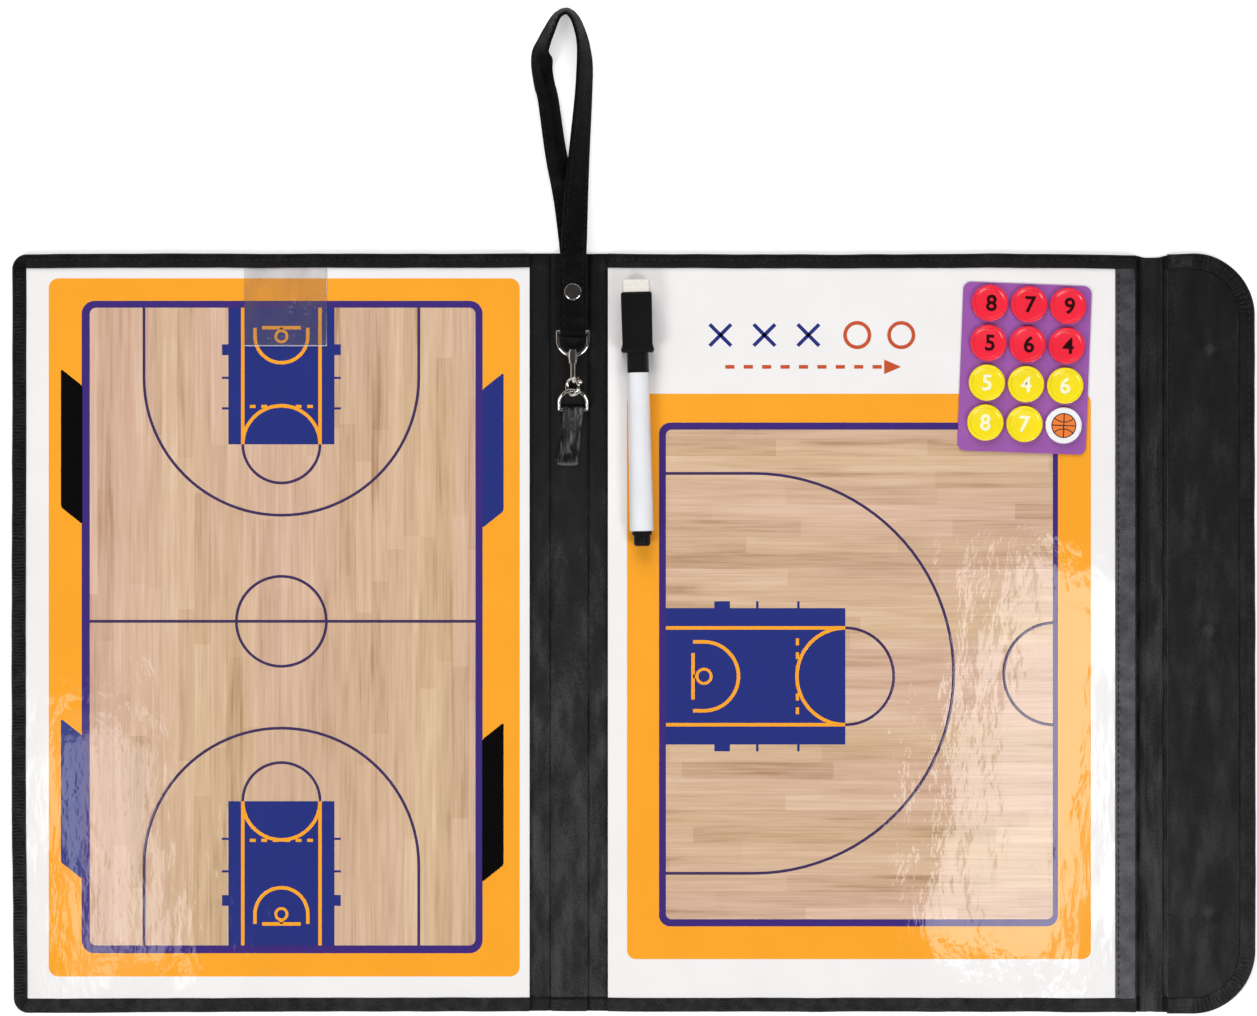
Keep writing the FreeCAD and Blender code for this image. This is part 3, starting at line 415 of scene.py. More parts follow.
class NodeTree:
    """Nodes that work out a value or a colour from a place to read."""

    def __init__(self, tree, reading):
        self.tree = tree
        self.place = self.node("ShaderNodeTexCoord").outputs[reading]

    def node(self, kind, settings=None, **inputs):
        node = self.tree.nodes.new(kind)
        for name, value in (settings or {}).items():
            setattr(node, name, value)
        for name, value in inputs.items():
            key = int(name[1:]) if name[0] == "_" else name.replace("_", " ").title()
            self.feed(node.inputs[key], value)
        return node

    def feed(self, socket, value):
        if isinstance(value, bpy.types.NodeSocket):
            self.tree.links.new(value, socket)
        else:
            socket.default_value = value

    def math(self, operation, first, second=0.0, third=0.0):
        node = self.node("ShaderNodeMath", {"operation": operation}, _0=first, _1=second, _2=third)
        return node.outputs[0]

    def noise(self, scale, detail=3.0, stretch=None):
        """Noise in bumps of 1 / scale metres, stretched along an axis where that is given."""
        where = self.place
        if stretch:
            where = self.node("ShaderNodeMapping", None, Vector=where, Scale=stretch).outputs[0]
        return self.node("ShaderNodeTexNoise", None, Vector=where, Scale=scale, Detail=detail).outputs["Fac"]

    def cells(self, scale):
        """Height of a pebbled surface: low along the seams between the pebbles."""
        bend = self.node("ShaderNodeTexNoise", None, Vector=self.place, Scale=scale / 2, Detail=2)
        where = self.node(
            "ShaderNodeVectorMath", {"operation": "MULTIPLY_ADD"},
            _0=bend.outputs["Color"], _1=(1.6 / scale,) * 3, _2=self.place,
        )
        pebbles = self.node(
            "ShaderNodeTexVoronoi", {"feature": "DISTANCE_TO_EDGE"}, Vector=where.outputs[0], Scale=scale
        )
        return pebbles.outputs["Distance"]

    def between(self, value, low, high, low_in=0.3, high_in=0.7):
        """The value's span from low_in to high_in mapped to low and high."""
        node = self.node("ShaderNodeMapRange")
        for index, entry in enumerate((value, low_in, high_in, low, high)):
            self.feed(node.inputs[index], entry)
        return node.outputs[0]

    def axes(self):
        """The place's X, Y and Z."""
        return self.node("ShaderNodeSeparateXYZ", None, Vector=self.place).outputs

    def away(self, place):
        """Distance from a place."""
        gap = self.node("ShaderNodeVectorMath", {"operation": "DISTANCE"}, _0=self.place, _1=place)
        return gap.outputs["Value"]

    def seen(self):
        """1 along the rays of the camera, of a mirror or through clear film, otherwise 0."""
        rays = self.node("ShaderNodeLightPath").outputs
        seen = rays["Is Camera Ray"]
        for ray in ("Is Glossy Ray", "Is Transmission Ray"):
            seen = self.math("MAXIMUM", seen, rays[ray])
        return seen

    def gathers(self, middle, sign, radius, hem, pitch, corners_only, strength):
        """Ridges across a turned edge, -1 to 1: along a panel's closed side and round its two corners."""
        axes = self.axes()
        high_y = self.math("ABSOLUTE", axes[1])
        past_x = self.math("MULTIPLY", self.math("SUBTRACT", axes[0], middle[0]), sign)
        past_y = self.math("SUBTRACT", high_y, middle[1])
        corner_x, corner_y = self.math("MAXIMUM", past_x, 0.01 * MM), self.math("MAXIMUM", past_y, 0.0)
        reach = self.math("MULTIPLY_ADD", corner_x, corner_x, self.math("MULTIPLY", corner_y, corner_y))
        inward = self.math("SUBTRACT", radius, self.math("SQRT", reach))
        turn = self.math("ARCTAN2", corner_y, corner_x)
        run = self.math("MULTIPLY_ADD", turn, radius, self.math("MINIMUM", high_y, middle[1]))
        drift = self.math("MULTIPLY", self.noise(170, 3), 11.0)
        waves = self.math("SINE", self.math("MULTIPLY_ADD", run, 2 * math.pi / pitch, drift))
        past_edge = self.between(inward, 0, 1, 0, 1.5 * MM)
        hold = self.math("MULTIPLY", past_edge, self.between(inward, 1, 0, hem - MM, hem))
        part = self.between(past_y if corners_only else past_x, 0, 1, 0, 2 * MM)
        part = self.math("MULTIPLY", part, self.between(axes[2], 0, 1, 0.6 * MM, 1.2 * MM))
        patches = self.between(self.noise(210, 2), 0.15 * strength, strength, 0.38, 0.62)
        hold = self.math("MULTIPLY", hold, self.math("MULTIPLY", part, patches))
        return self.math("MULTIPLY", waves, hold)

    def ramp(self, value, *stops):
        """Colours along a value, each stop a place and a colour."""
        node = self.node("ShaderNodeValToRGB", None, Fac=value)
        elements = node.color_ramp.elements
        while len(elements) < len(stops):
            elements.new(1)
        for element, (at, shade) in zip(elements, stops):
            element.position = at
            element.color = (*shade, 1)
        return node.outputs["Color"]

    def bump(self, height, depth, strength=1.0):
        node = self.node("ShaderNodeBump", None, Height=height, Distance=depth, Strength=strength)
        return node.outputs["Normal"]


class Finish(NodeTree):
    """A material in the making: its shader, and its nodes on Object coordinates."""

    def __init__(self, name, **sockets):
        self.material = bpy.data.materials.new(name)
        self.material.use_nodes = True
        super().__init__(self.material.node_tree, "Object")
        self.shader = self.tree.nodes["Principled BSDF"]
        for socket, value in sockets.items():
            self.shader.inputs[socket.replace("_", " ").title().replace("Ior", "IOR")].default_value = value

    def wear(self, **sockets):
        """Links colour, roughness, alpha or normal to the shader."""
        for socket, value in sockets.items():
            self.feed(self.shader.inputs[socket.replace("_", " ").title()], value)
        return self.material


def shaded(shade, factor):
    return tuple(min(channel * factor, 1) for channel in shade)


def leather(name, tone=1.0, drawn=1.0, shine=0.22, spots_and_painted_light=(), wear=1.0, gathers=None, hem_y=None):
    """Black pebbled leather, paler on its pebbles and at given spots, and paler low down from a painted
    sheen.

    Drawn stretches the creases along Y. Each spot is a place, a radius and how pale the leather is there;
    some spots are painted highlights and painted shadows. Wear is how pale the leather can get. Gathers are
    the ridges of a turned edge, whose colour paints light on their crests and shade in their folds. Past
    hem_y the leather is darker, with a painted shadow line along hem_y.
    """
    look = settings().leather
    finish = Finish(name, specular_ior_level=shine)
    pebbles = finish.between(finish.cells(1 / look.grain), 0, 1, 0, 0.3)
    creases = finish.noise(1 / (5.2 * MM), 4, (1, 1 / drawn, 1))
    patches = finish.noise(26, 3)
    grain = finish.math("MULTIPLY_ADD", creases, 0.9, finish.math("MULTIPLY", pebbles, 0.2))
    # Paleness of the leather: its grain, with painted light and shade added below.
    rubbed_and_lit = finish.math("MULTIPLY_ADD", patches, 0.12, finish.math("MULTIPLY_ADD", grain, 0.6, 0.18))
    # Painted sheen: the leather is paler low down on the page and darker at the top.
    painted_low_sheen = finish.between(finish.axes()[1], 0.08, -0.06, COVER[0].y, COVER[1].y)
    rubbed_and_lit = finish.math("ADD", rubbed_and_lit, painted_low_sheen)
    if gathers:
        ridges = finish.gathers(*gathers)
        # The ridges' colour paints light on the pleats' crests and shade in their folds; the bump gives their
        # relief.
        rubbed_and_lit = finish.math("MULTIPLY_ADD", ridges, 0.13, rubbed_and_lit)
        grain = finish.math("MULTIPLY_ADD", ridges, 0.6, grain)
    if hem_y:
        past = finish.math("SUBTRACT", finish.math("ABSOLUTE", finish.axes()[1]), hem_y)
        # A dark line along hem_y: a painted shadow under the hem's edge.
        edge = finish.between(finish.math("ABSOLUTE", past), -0.4, 0, 0.25 * MM, 0.6 * MM)
        beyond = finish.between(past, 0, -0.14, 0, 0.4 * MM)
        rubbed_and_lit = finish.math("ADD", rubbed_and_lit, finish.math("ADD", edge, beyond))
    # Pale spots, painted highlights and painted shadows, each a place, a radius and a change of paleness.
    for place, radius, paleness in spots_and_painted_light:
        spot_tint = finish.between(finish.away(place), paleness, 0, 0.2 * radius, radius)
        rubbed_and_lit = finish.math("ADD", rubbed_and_lit, spot_tint)
    shade, worn = shaded(look.shade, tone), shaded(look.worn, tone * wear)
    return finish.wear(
        base_color=finish.ramp(rubbed_and_lit, (0.36, shaded(shade, 0.3)), (0.55, shade), (0.76, worn)),
        roughness=finish.between(creases, 0.4, 0.64),
        normal=finish.bump(grain, 0.45 * MM),
    )


def crumpled_leather(name, mouth):
    """Thin leather creased lengthwise, with painted highlights along its creases, painted shade inside its
    open mouth, and pale along the lip.
    """
    finish = Finish(name, specular_ior_level=0.3)
    folds = finish.noise(1 / (1.2 * MM), 3, (1, 0.13, 1))
    up = finish.math("SUBTRACT", finish.axes()[1], mouth.y)
    # Here worn holds painted light: highlights along the creases, and shade inside the open mouth.
    worn = finish.math("ADD", folds, finish.between(finish.away(mouth), -0.3, 0, 0.9 * MM, 2.3 * MM))
    worn = finish.math("ADD", worn, finish.between(up, 0.4, 0, -1.3 * MM, -0.9 * MM))
    dark, pale = settings().leather.shade, settings().leather.worn
    return finish.wear(
        base_color=finish.ramp(worn, (0.4, shaded(dark, 0.3)), (0.52, dark), (0.7, shaded(pale, 1.8))),
        roughness=finish.between(folds, 0.35, 0.6),
        normal=finish.bump(folds, 0.6 * MM),
    )


def fibrous(name, shade, scale, detail, darkest, rough, depth, **sockets):
    """A dull material of fibres 1 / scale metres wide, dark between them and uneven to a depth."""
    finish = Finish(name, **sockets)
    fibres = finish.noise(scale, detail)
    return finish.wear(
        base_color=finish.ramp(fibres, (0.3, shaded(shade, darkest)), (0.7, shade)),
        roughness=finish.between(fibres, *rough),
        normal=finish.bump(fibres, depth),
    )


def thread(name, tone=1.0):
    """Twisted black sewing thread."""
    shade = shaded(settings().leather.thread, tone)
    return fibrous(name, shade, 2600, 2, 0.5, (0.5, 0.75), 0.08 * MM, specular_ior_level=0.2)


def felt_pad(name, shade):
    """Pressed felt with loose fibres."""
    shine = {"specular_ior_level": 0.2, "sheen_weight": 0.35}
    return fibrous(name, shade, 1500, 4, 0.82, (0.85, 1.0), 0.2 * MM, **shine)


def grey_card(name, shade):
    """Pressed grey card, as inside a book's cover."""
    return fibrous(name, shade, 800, 4, 0.75, (0.75, 0.95), 0.05 * MM, specular_ior_level=0.3)


FILM_GLOSS = {"specular_ior_level": 0.42, "coat_weight": 0.15, "coat_roughness": 0.04}


def film_waves(finish):
    """The faint buckles of a laminated sheet, the same on the sheet and on its inks."""
    buckles = finish.noise(16, 2)
    crinkles = finish.noise(85, 4)
    patches = finish.between(finish.noise(7, 1), 0, 1, 0.5, 0.75)
    height = finish.math("MULTIPLY_ADD", finish.math("MULTIPLY", crinkles, patches), 0.26, buckles)
    height = finish.math("MULTIPLY_ADD", finish.noise(48, 5, (1, 0.45, 1)), 0.66, height)
    height = finish.math("MULTIPLY_ADD", finish.noise(270, 3), 0.022, height)
    return finish.bump(height, 4 * MM, 0.15)


def laminate(name, shade):
    """Glossy print under clear film, with a trace of wiped ink on it."""
    finish = Finish(name, **FILM_GLOSS)
    haze = finish.noise(38, 4)
    return finish.wear(
        base_color=finish.ramp(haze, (0.3, shaded(shade, 0.965)), (0.65, shade)),
        roughness=finish.between(finish.noise(55, 3), 0.035, 0.07),
        normal=film_waves(finish),
    )


def court_planks(name, along):
    """Printed maple planks that run along X or Y, each with its own tone and grain."""
    look = settings().print
    finish = Finish(name, **FILM_GLOSS)
    axes = finish.axes()
    across, run = (axes[0], axes[1]) if along == "Y" else (axes[1], axes[0])
    row = finish.math("FLOOR", finish.math("DIVIDE", across, look.plank_width))
    shift = finish.node("ShaderNodeTexWhiteNoise", {"noise_dimensions": "1D"}, W=row).outputs["Value"]
    shifted = finish.math("MULTIPLY", shift, 7.0)
    steps = finish.math("ADD", finish.math("DIVIDE", run, look.plank_length), shifted)
    board = finish.node("ShaderNodeCombineXYZ", None, X=row, Y=finish.math("FLOOR", steps)).outputs[0]
    tone = finish.node("ShaderNodeTexWhiteNoise", {"noise_dimensions": "3D"}, Vector=board).outputs["Value"]
    stretch = (1, 0.07, 1) if along == "Y" else (0.07, 1, 1)
    grain = finish.noise(420, 4, stretch)
    hairs = finish.noise(1500, 3, tuple(share if share == 1 else 0.02 for share in stretch))
    streaks = finish.noise(95, 2, stretch)
    mixed = finish.math("MULTIPLY_ADD", tone, 0.2, finish.math("MULTIPLY", grain, 0.5))
    mixed = finish.math("MULTIPLY_ADD", streaks, 0.26, finish.math("MULTIPLY_ADD", hairs, 0.44, mixed))
    knots = finish.between(finish.noise(150, 3, stretch), 0, -0.24, 0.64, 0.76)
    seams = finish.between(finish.math("PINGPONG", across, look.plank_width / 2), -0.09, 0, 0, 0.25 * MM)
    mixed = finish.math("ADD", mixed, finish.math("ADD", knots, seams))
    maple = finish.ramp(
        mixed, (0.42, (0.42, 0.26, 0.152)), (0.6, (0.573, 0.389, 0.264)),
        (0.76, (0.651, 0.455, 0.32)), (0.95, (0.735, 0.55, 0.41)),
    )
    tints = finish.ramp(finish.noise(30, 2, stretch), (0.36, (1, 1.0, 0.9)), (0.64, (1, 0.955, 1)))
    blend = finish.node(
        "ShaderNodeMix", {"data_type": "RGBA", "blend_type": "MULTIPLY"}, _0=1.0, _6=maple, _7=tints
    )
    return finish.wear(
        base_color=blend.outputs[2],
        roughness=finish.between(grain, 0.035, 0.07),
        normal=film_waves(finish),
    )


def plated(name, shade):
    """Bright nickel plate with fine scratches."""
    finish = Finish(name, metallic=1.0)
    scratches = finish.noise(900, 3, (1, 0.15, 1))
    cloud = finish.noise(160, 2)
    return finish.wear(
        base_color=finish.ramp(cloud, (0.3, shaded(shade, 0.86)), (0.7, shade)),
        roughness=finish.between(scratches, 0.06, 0.14),
        normal=finish.bump(scratches, 0.02 * MM, 0.4),
    )


def plastic(name, shade, gloss=0.25, shine=0.4):
    """Moulded plastic with a faint orange peel."""
    finish = Finish(name, specular_ior_level=shine)
    peel = finish.noise(520, 2)
    cloud = finish.noise(60, 3)
    return finish.wear(
        base_color=finish.ramp(cloud, (0.3, shaded(shade, 0.94)), (0.7, shade)),
        roughness=finish.between(cloud, gloss - 0.03, gloss + 0.04),
        normal=finish.bump(peel, 0.02 * MM, 0.15),
    )


def hazy_film(name, shade, low, high):
    """Clear film that hazes what lies under it, with a painted highlight along its free edges."""
    finish = Finish(name, specular_ior_level=0.5)
    axes = finish.axes()
    # A painted highlight along the film's free edges.
    foot = finish.between(axes[1], 1, 0, low.y + 0.35 * MM, low.y + 0.6 * MM)
    side = finish.between(axes[0], 0, 1, high.x - 0.6 * MM, high.x - 0.35 * MM)
    streaks = finish.noise(150, 3, (1, 0.4, 1))
    broken = finish.math("MULTIPLY", side, finish.between(streaks, 0, 1, 0.4, 0.6))
    edge = finish.math("MAXIMUM", foot, broken)
    flecks = finish.between(finish.noise(1100, 2), 0, 0.5, 0.62, 0.7)
    patches = finish.between(finish.noise(110, 2), 0, 1, 0.45, 0.65)
    edge = finish.math("MAXIMUM", edge, finish.math("MULTIPLY", flecks, patches))
    haze = finish.math("MULTIPLY_ADD", edge, 0.3, finish.between(streaks, 0.09, 0.16))
    return finish.wear(
        base_color=finish.ramp(edge, (0, shade), (1, (0.66, 0.65, 0.72))),
        roughness=finish.between(streaks, 0.16, 0.32),
        alpha=haze,
        normal=finish.bump(streaks, 0.3 * MM, 0.4),
    )


# Leather panels


def hemmed_panel(name, low, high, hem, radius, closed):
    """A leather panel turned over at its edges, open towards the sides that aren't closed."""
    look = settings().leather
    spare = 4 * hem
    wall = 2.4 * MM
    arc_step = 0.42 * MM
    left = low.x if closed == "left" else low.x - spare
    right = high.x if closed == "right" else high.x + spare
    piece = block(name, (left, low.y, low.z), (right, high.y, high.z))
    closed_x = {"left": left, "right": right}.get(closed)
    with editing(piece):
        if closed:
            pick_edges(piece, lambda at, run: is_upright(run) and near(at.x, closed_x))
            round_picked(radius, max(10, int(radius / arc_step)))
        pick_faces(piece, faces_up)
        bpy.ops.mesh.inset(thickness=hem)
        sink_picked(look.lip)
        sink_picked(0)
        half = (high.y - low.y) / 2
        run = right - left - hem
        wider = ((run + hem - wall) / run if closed else 1, (half - wall) / (half - hem), 1)
        anchor = (left + hem if closed == "right" else right - hem, (low.y + high.y) / 2, high.z)
        bpy.ops.transform.resize(value=wider, center_override=anchor)
        sink_picked(high.z - low.z - 2 * look.lip)
        pick_rim(piece, True)
        round_picked(look.roll, 5)
        pick_rim(piece, False)
        round_picked(look.lip / 2, 3)
        for side, at, normal in (("left", low.x, (-1, 0, 0)), ("right", high.x, (1, 0, 0))):
            if side != closed:
                cut_away((at, 0, 0), normal)
    divide_hem(piece, closed_x, hem, 1.2 * MM)
    return piece


def divide_hem(piece, closed_x, hem, pitch):
    """Cuts the long straight runs of a hem into short ones, so that they can pucker."""
    tests = [lambda at, run: abs(run.x) > 0.99 * run.length]
    if closed_x is not None:
        tests.append(lambda at, run: abs(run.y) > 0.99 * run.length and abs(at.x - closed_x) < 2 * hem)
    for test in tests:
        with editing(piece):
            pick_edges(piece, lambda at, run: run.length > 8 * pitch and test(at, run))
            shape = bmesh.from_edit_mesh(piece.data)
            longest = max(edge.calc_length() for edge in shape.edges if edge.select)
            bpy.ops.mesh.subdivide(number_cuts=int(longest / pitch), quadcorner="INNERVERT")


def edge_sway(x, y, inward):
    """How far an outer edge wanders outwards at a place, the same on all pieces that meet there."""
    look = settings().leather
    hold = ease(1 - inward / (3 * look.hem))
    long_sway, short_sway = ripple(x, y, 150 * MM, 4.4), ripple(x, y, 14 * MM, 4.4)
    return look.unevenness * hold * (1.5 * long_sway + 0.45 * short_sway)


def top_sag(x):
    """How far the top edge sinks at a place: at the cover's corner and towards the gusset."""
    # Places along the top and the sag at each, in mm
    sags = ((-353, 0.15), (-318, 0), (38, 0), (108, 0.7), (112, 1.6), (117, 1.6), (121, 0.8), (140, 0))
    for (start, first), (end, last) in zip(sags, sags[1:]):
        if start * MM <= x <= end * MM:
            return (first + (last - first) * ease((x / MM - start) / (end - start))) * MM
    return 0


def pucker_hem(piece, low, high, hem, radius, closed, seed):
    """Lets the turned edge of a panel wander, pucker at its sewing and gather in pleats round its corners."""
    pleat, pleat_drift, pleat_patch = metres((2.2, 7, 4))
    pucker, long_wave = metres((1.5, 17))
    lower_lean, lean_start, lean_run = metres((0.8, -60, 95))
    sign = {"left": -1, "right": 1}.get(closed, 0)
    corner_x = (low.x if closed == "left" else high.x) - sign * radius
    for point in piece.data.vertices:
        at = point.co
        up = 1 if at.y > 0 else -1
        past_x, past_y = sign * (at.x - corner_x), abs(at.y) - (high.y - radius)
        gather = 0
        if closed and past_x > 0 and past_y > 0:
            outward = Vector((sign * past_x, up * past_y, 0))
            inward = radius - outward.length
            run = radius * math.atan2(past_y, past_x)
            gather = math.sin(2 * math.pi * run / pleat + 3 * ripple(run, up, pleat_drift, seed))
            gather *= 0.5 + ripple(run, up, pleat_patch, seed + 2)
            outward.normalize()
        elif closed and past_x > past_y:
            outward, inward, run = Vector((sign, 0, 0)), radius - past_x, at.y
        else:
            outward, inward, run = Vector((0, up, 0)), radius - past_y, at.x
        hold = ease(1 - inward / (3 * hem))
        waves = ripple(at.x, at.y, long_wave, seed)
        at += outward * edge_sway(at.x, at.y, inward)
        if up > 0:
            at.y -= top_sag(at.x) * hold
        if closed == "left":
            leaning = ease((lean_start - at.y) / lean_run)
            at.x += lower_lean * leaning * ease(1 - (at.x - low.x) / (3 * hem))
        if at.z > high.z - 1.2 * settings().leather.lip:
            gap = hem * 0.55
            on_hem = hump(inward - gap, gap) * ease(inward / MM)
            puckers = ripple(run, inward / 3, pucker, seed) * (1.2 if abs(outward.x) > 0.9 else 0.7)
            at.z += (0.2 * puckers * on_hem + 0.2 * waves * hold + 0.3 * gather * on_hem) * MM
    piece.data.update()
    smooth(piece, 50)


def leather_sheet(name, low, high, steps, height, thickness):
    """A grid of leather whose upper face follows a height over each place, closed underneath."""
    piece = primitive("grid", name, x_subdivisions=steps[0], y_subdivisions=steps[1], size=1)
    for corner in piece.data.vertices:
        x = low[0] + (corner.co.x + 0.5) * (high[0] - low[0])
        y = low[1] + (corner.co.y + 0.5) * (high[1] - low[1])
        corner.co = (x, y, height(x, y))
    finish_with(piece, "SOLIDIFY", thickness=thickness, offset=-1.0)
    smooth(piece, 50)
    return piece


def deep_sheet(name, low, high, steps, height):
    """A leather sheet with a flat under face, whose ends follow the edges beside them."""
    piece = leather_sheet(name, low, high, steps, height, 0.5 * MM)
    corners = piece.data.vertices
    count = len(corners) // 2
    for upper, lower in zip(corners[:count], corners[count:]):
        x, y, z = upper.co
        shift = edge_sway(x, y, high.y - abs(y)) * (1 if y > 0 else -1)
        y += shift - top_sag(x) * ease((y - high.y) / (20 * MM) + 1)
        upper.co, lower.co = (x, y, z), (x, y, low.z)
    piece.data.update()
    smooth(piece, 50)
    return piece


def open_edge(panel, side, top_node):
    """Leather turned down over the open edge of a panel's layers, on the side given by its sign."""
    tuck, proud, drop, rounding = metres((0.3, 0.1, 0.04, 0.05))
    low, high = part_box(f"{panel}_board")
    edge = high.x if side > 0 else low.x
    ends = sorted((edge - side * tuck, edge + side * proud))
    name = f"{panel}_edge_{'right' if side > 0 else 'left'}"
    facing = block(name, (ends[0], low.y, low.z), (ends[1], high.y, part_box(top_node)[1].z - drop))
    soften(facing, rounding, 2)
    dress(facing, leather(f"{name}_leather", 0.5), panel)


# Sewing


def stitch_places(line, pitch):
    """Places along a line of points, one pitch apart, each with its direction and its upper side."""
    places, left_over = [], pitch / 2
    for start, end in zip(line, line[1:]):
        run = end - start
        at = left_over
        while at < run.length:
            places.append((start + run.normalized() * at, run.normalized(), UP))
            at += pitch
        left_over = at - run.length
    return places


def sewn(name, places):
    """A row of stitches in one piece: one is modelled and copied to every place."""
    stitch = primitive("uv_sphere", name, segments=8, ring_count=5, radius=0.5)
    stitch.scale = (settings().leather.stitch, 0.55 * MM, 0.4 * MM)
    bpy.ops.object.transform_apply()
    row = bmesh.new()
    for at, run, up in places:
        side = up.cross(run).normalized()
        turn = Matrix((run, side, run.cross(side))).transposed().to_4x4()
        first = len(row.verts)
        row.from_mesh(stitch.data)
        row.verts.ensure_lookup_table()
        bmesh.ops.transform(row, matrix=Matrix.Translation(at) @ turn, verts=row.verts[first:])
    row.to_mesh(stitch.data)
    row.free()
    smooth(stitch, 80)
    return stitch


def hem_line(low, high, inset, radius, closed, z):
    """The line of a hem's sewing: along the top, round the closed side, and back along the bottom."""
    top, bottom = high.y - inset, low.y + inset
    if closed is None:
        return [[Vector((low.x, y, z)), Vector((high.x, y, z))] for y in (top, bottom)]
    sign = -1 if closed == "left" else 1
    edge = (low.x if closed == "left" else high.x) - sign * inset
    start = high.x if closed == "left" else low.x
    turn = radius - inset
    turn_x = edge - sign * turn
    line = [Vector((start, top, z))]
    for middle_y, first in ((top - turn, 90), (bottom + turn, 0)):
        for step in range(0, 91, 6):
            angle = math.radians(first - step)
            x = turn_x + sign * turn * math.cos(angle)
            line.append(Vector((x, middle_y + turn * math.sin(angle), z)))
    line.append(Vector((start, bottom, z)))
    return [line]


def sew_hem(name, low, high, radius, closed):
    """The sewing of a panel's hem, just over its face."""
    look = settings().leather
    lines = hem_line(low, high, look.stitch_inset, radius, closed, high.z + 0.02 * MM)
    return sewn(name, [place for line in lines for place in stitch_places(line, look.stitch_pitch)])


class BOARD_OT_cover(bpy.types.Operator):
    """Make the cover's leather with its turned edge and sewing"""

    bl_idname = "board.cover"
    bl_label = "Cover Leather"

    def execute(self, context):
        look = settings().leather
        low, high = COVER
        panel = hemmed_panel("cover_leather", low, high, look.hem, look.cover_corner, "left")
        pucker_hem(panel, low, high, look.hem, look.cover_corner, "left", 1.7)
        middle = (low.x + look.cover_corner, high.y - look.cover_corner)
        gathers = (middle, -1, look.cover_corner, look.hem, 1.35 * MM, False, 1.7)
        black = leather("cover_black_leather", 0.5, shine=0.16, gathers=gathers)
        dress(panel, black, "cover", ["cover_skin"])
        rows = sew_hem("cover_stitches", low, high, look.cover_corner, "left")
        dress(rows, thread("cover_thread"), "cover")
        open_edge("cover", 1, "cover_court_sheet")
        return {"FINISHED"}


class BOARD_OT_base(bpy.types.Operator):
    """Make the base's leather, its sewing and the sewn strip beside the flap"""

    bl_idname = "board.base"
    bl_label = "Base Leather"

    def execute(self, context):
        look = settings().leather
        low, high = BASE
        panel = hemmed_panel("base_leather", low, high, look.hem, 0, None)
        pucker_hem(panel, low, high, look.hem, 0, None, 5.2)
        black = leather("base_black_leather", 0.5, shine=0.16)
        dress(panel, black, "base", ["base_skin"])
        strip_low, strip_high = FLAP_STRIP
        seam_inset = 1.3 * MM

        def strip_height(x, y):
            share = (x - strip_low.x) / (strip_high.x - strip_low.x)
            crown = math.sin(math.pi * min(max(share, 0.02), 0.98)) ** 0.5
            seam = hump(x - strip_low.x - seam_inset, 0.5 * MM)
            lump = 0.1 * ripple(x, y, 9 * MM, 3.1)
            return strip_low.z + (0.22 + 0.4 * crown - 0.22 * seam + lump) * MM

        tuck = Vector((0, 1.5 * MM, 0))
        strip = leather_sheet(
            "base_strip", strip_low - tuck, strip_high + tuck, (18, 150), strip_height, 0.2 * MM
        )
        pale = leather("strip_leather", 6, shine=0.25, wear=0.36)
        dress(strip, pale, "base", ["base_flap_strip"])
        rows = sew_hem("base_stitches", low, high, 0, None)
        seam_x, seam_z = strip_low.x + seam_inset, strip_low.z + 0.55 * MM
        seam = [Vector((seam_x, y, seam_z)) for y in (strip_low.y + 1 * MM, strip_high.y - 1 * MM)]
        strip_row = sewn("strip_stitches", stitch_places(seam, look.stitch_pitch))
        dress(joined("base_stitches", [rows, strip_row]), thread("base_thread"), "base")
        open_edge("base", -1, "base_court_sheet")
        open_edge("base", 1, "base_flap_strip")
        return {"FINISHED"}


class BOARD_OT_spine(bpy.types.Operator):
    """Make the spine's padded leather and the two creased strips beside it"""

    bl_idname = "board.spine"
    bl_label = "Spine Leather"

    def execute(self, context):
        look = settings().leather
        over = Vector((0.25 * MM, 0, 0))
        low, high = SPINE[0] - over, SPINE[1] + over
        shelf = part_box("spine_stiffener")[1].z + 0.12 * MM

        def spine_height(x, y):
            share = (x - low.x) / (high.x - low.x)
            shoulder = min(share, 1 - share)
            crown = ease(shoulder / 0.1)
            lip = ease((abs(y) - (high.y - look.hem)) / (0.7 * MM)) * look.lip
            rim = ease((abs(y) - (high.y - look.roll)) / look.roll) * 0.8 * MM
            sag = 0.12 * ripple(x, y, 24 * MM, 8.4) + 0.05 * ripple(x, y, 6 * MM, 1.4)
            return shelf + (SPINE_TOP - shelf) * crown + lip - rim + sag * MM * crown

        ridge = deep_sheet("spine_leather", low, high, (44, 420), spine_height)
        shadow = strap_shadow(high.x)
        black = leather("spine_black_leather", 1.0, 3, 0.2, shadow, hem_y=high.y - look.hem)
        dress(ridge, black, "spine", ["spine_skin", "spine_lining"])
        fold_strip("cover_fold", "cover_fold_leather", 2.3)
        fold_strip("spine_fold", "spine_fold_leather", 6.6)
        return {"FINISHED"}


def strap_shadow(x):
    """A painted shadow on the spine's leather about the strap, as one of a leather's spots."""
    return [(Vector((x, 105 * MM, SPINE_TOP)), 85 * MM, -0.15)]


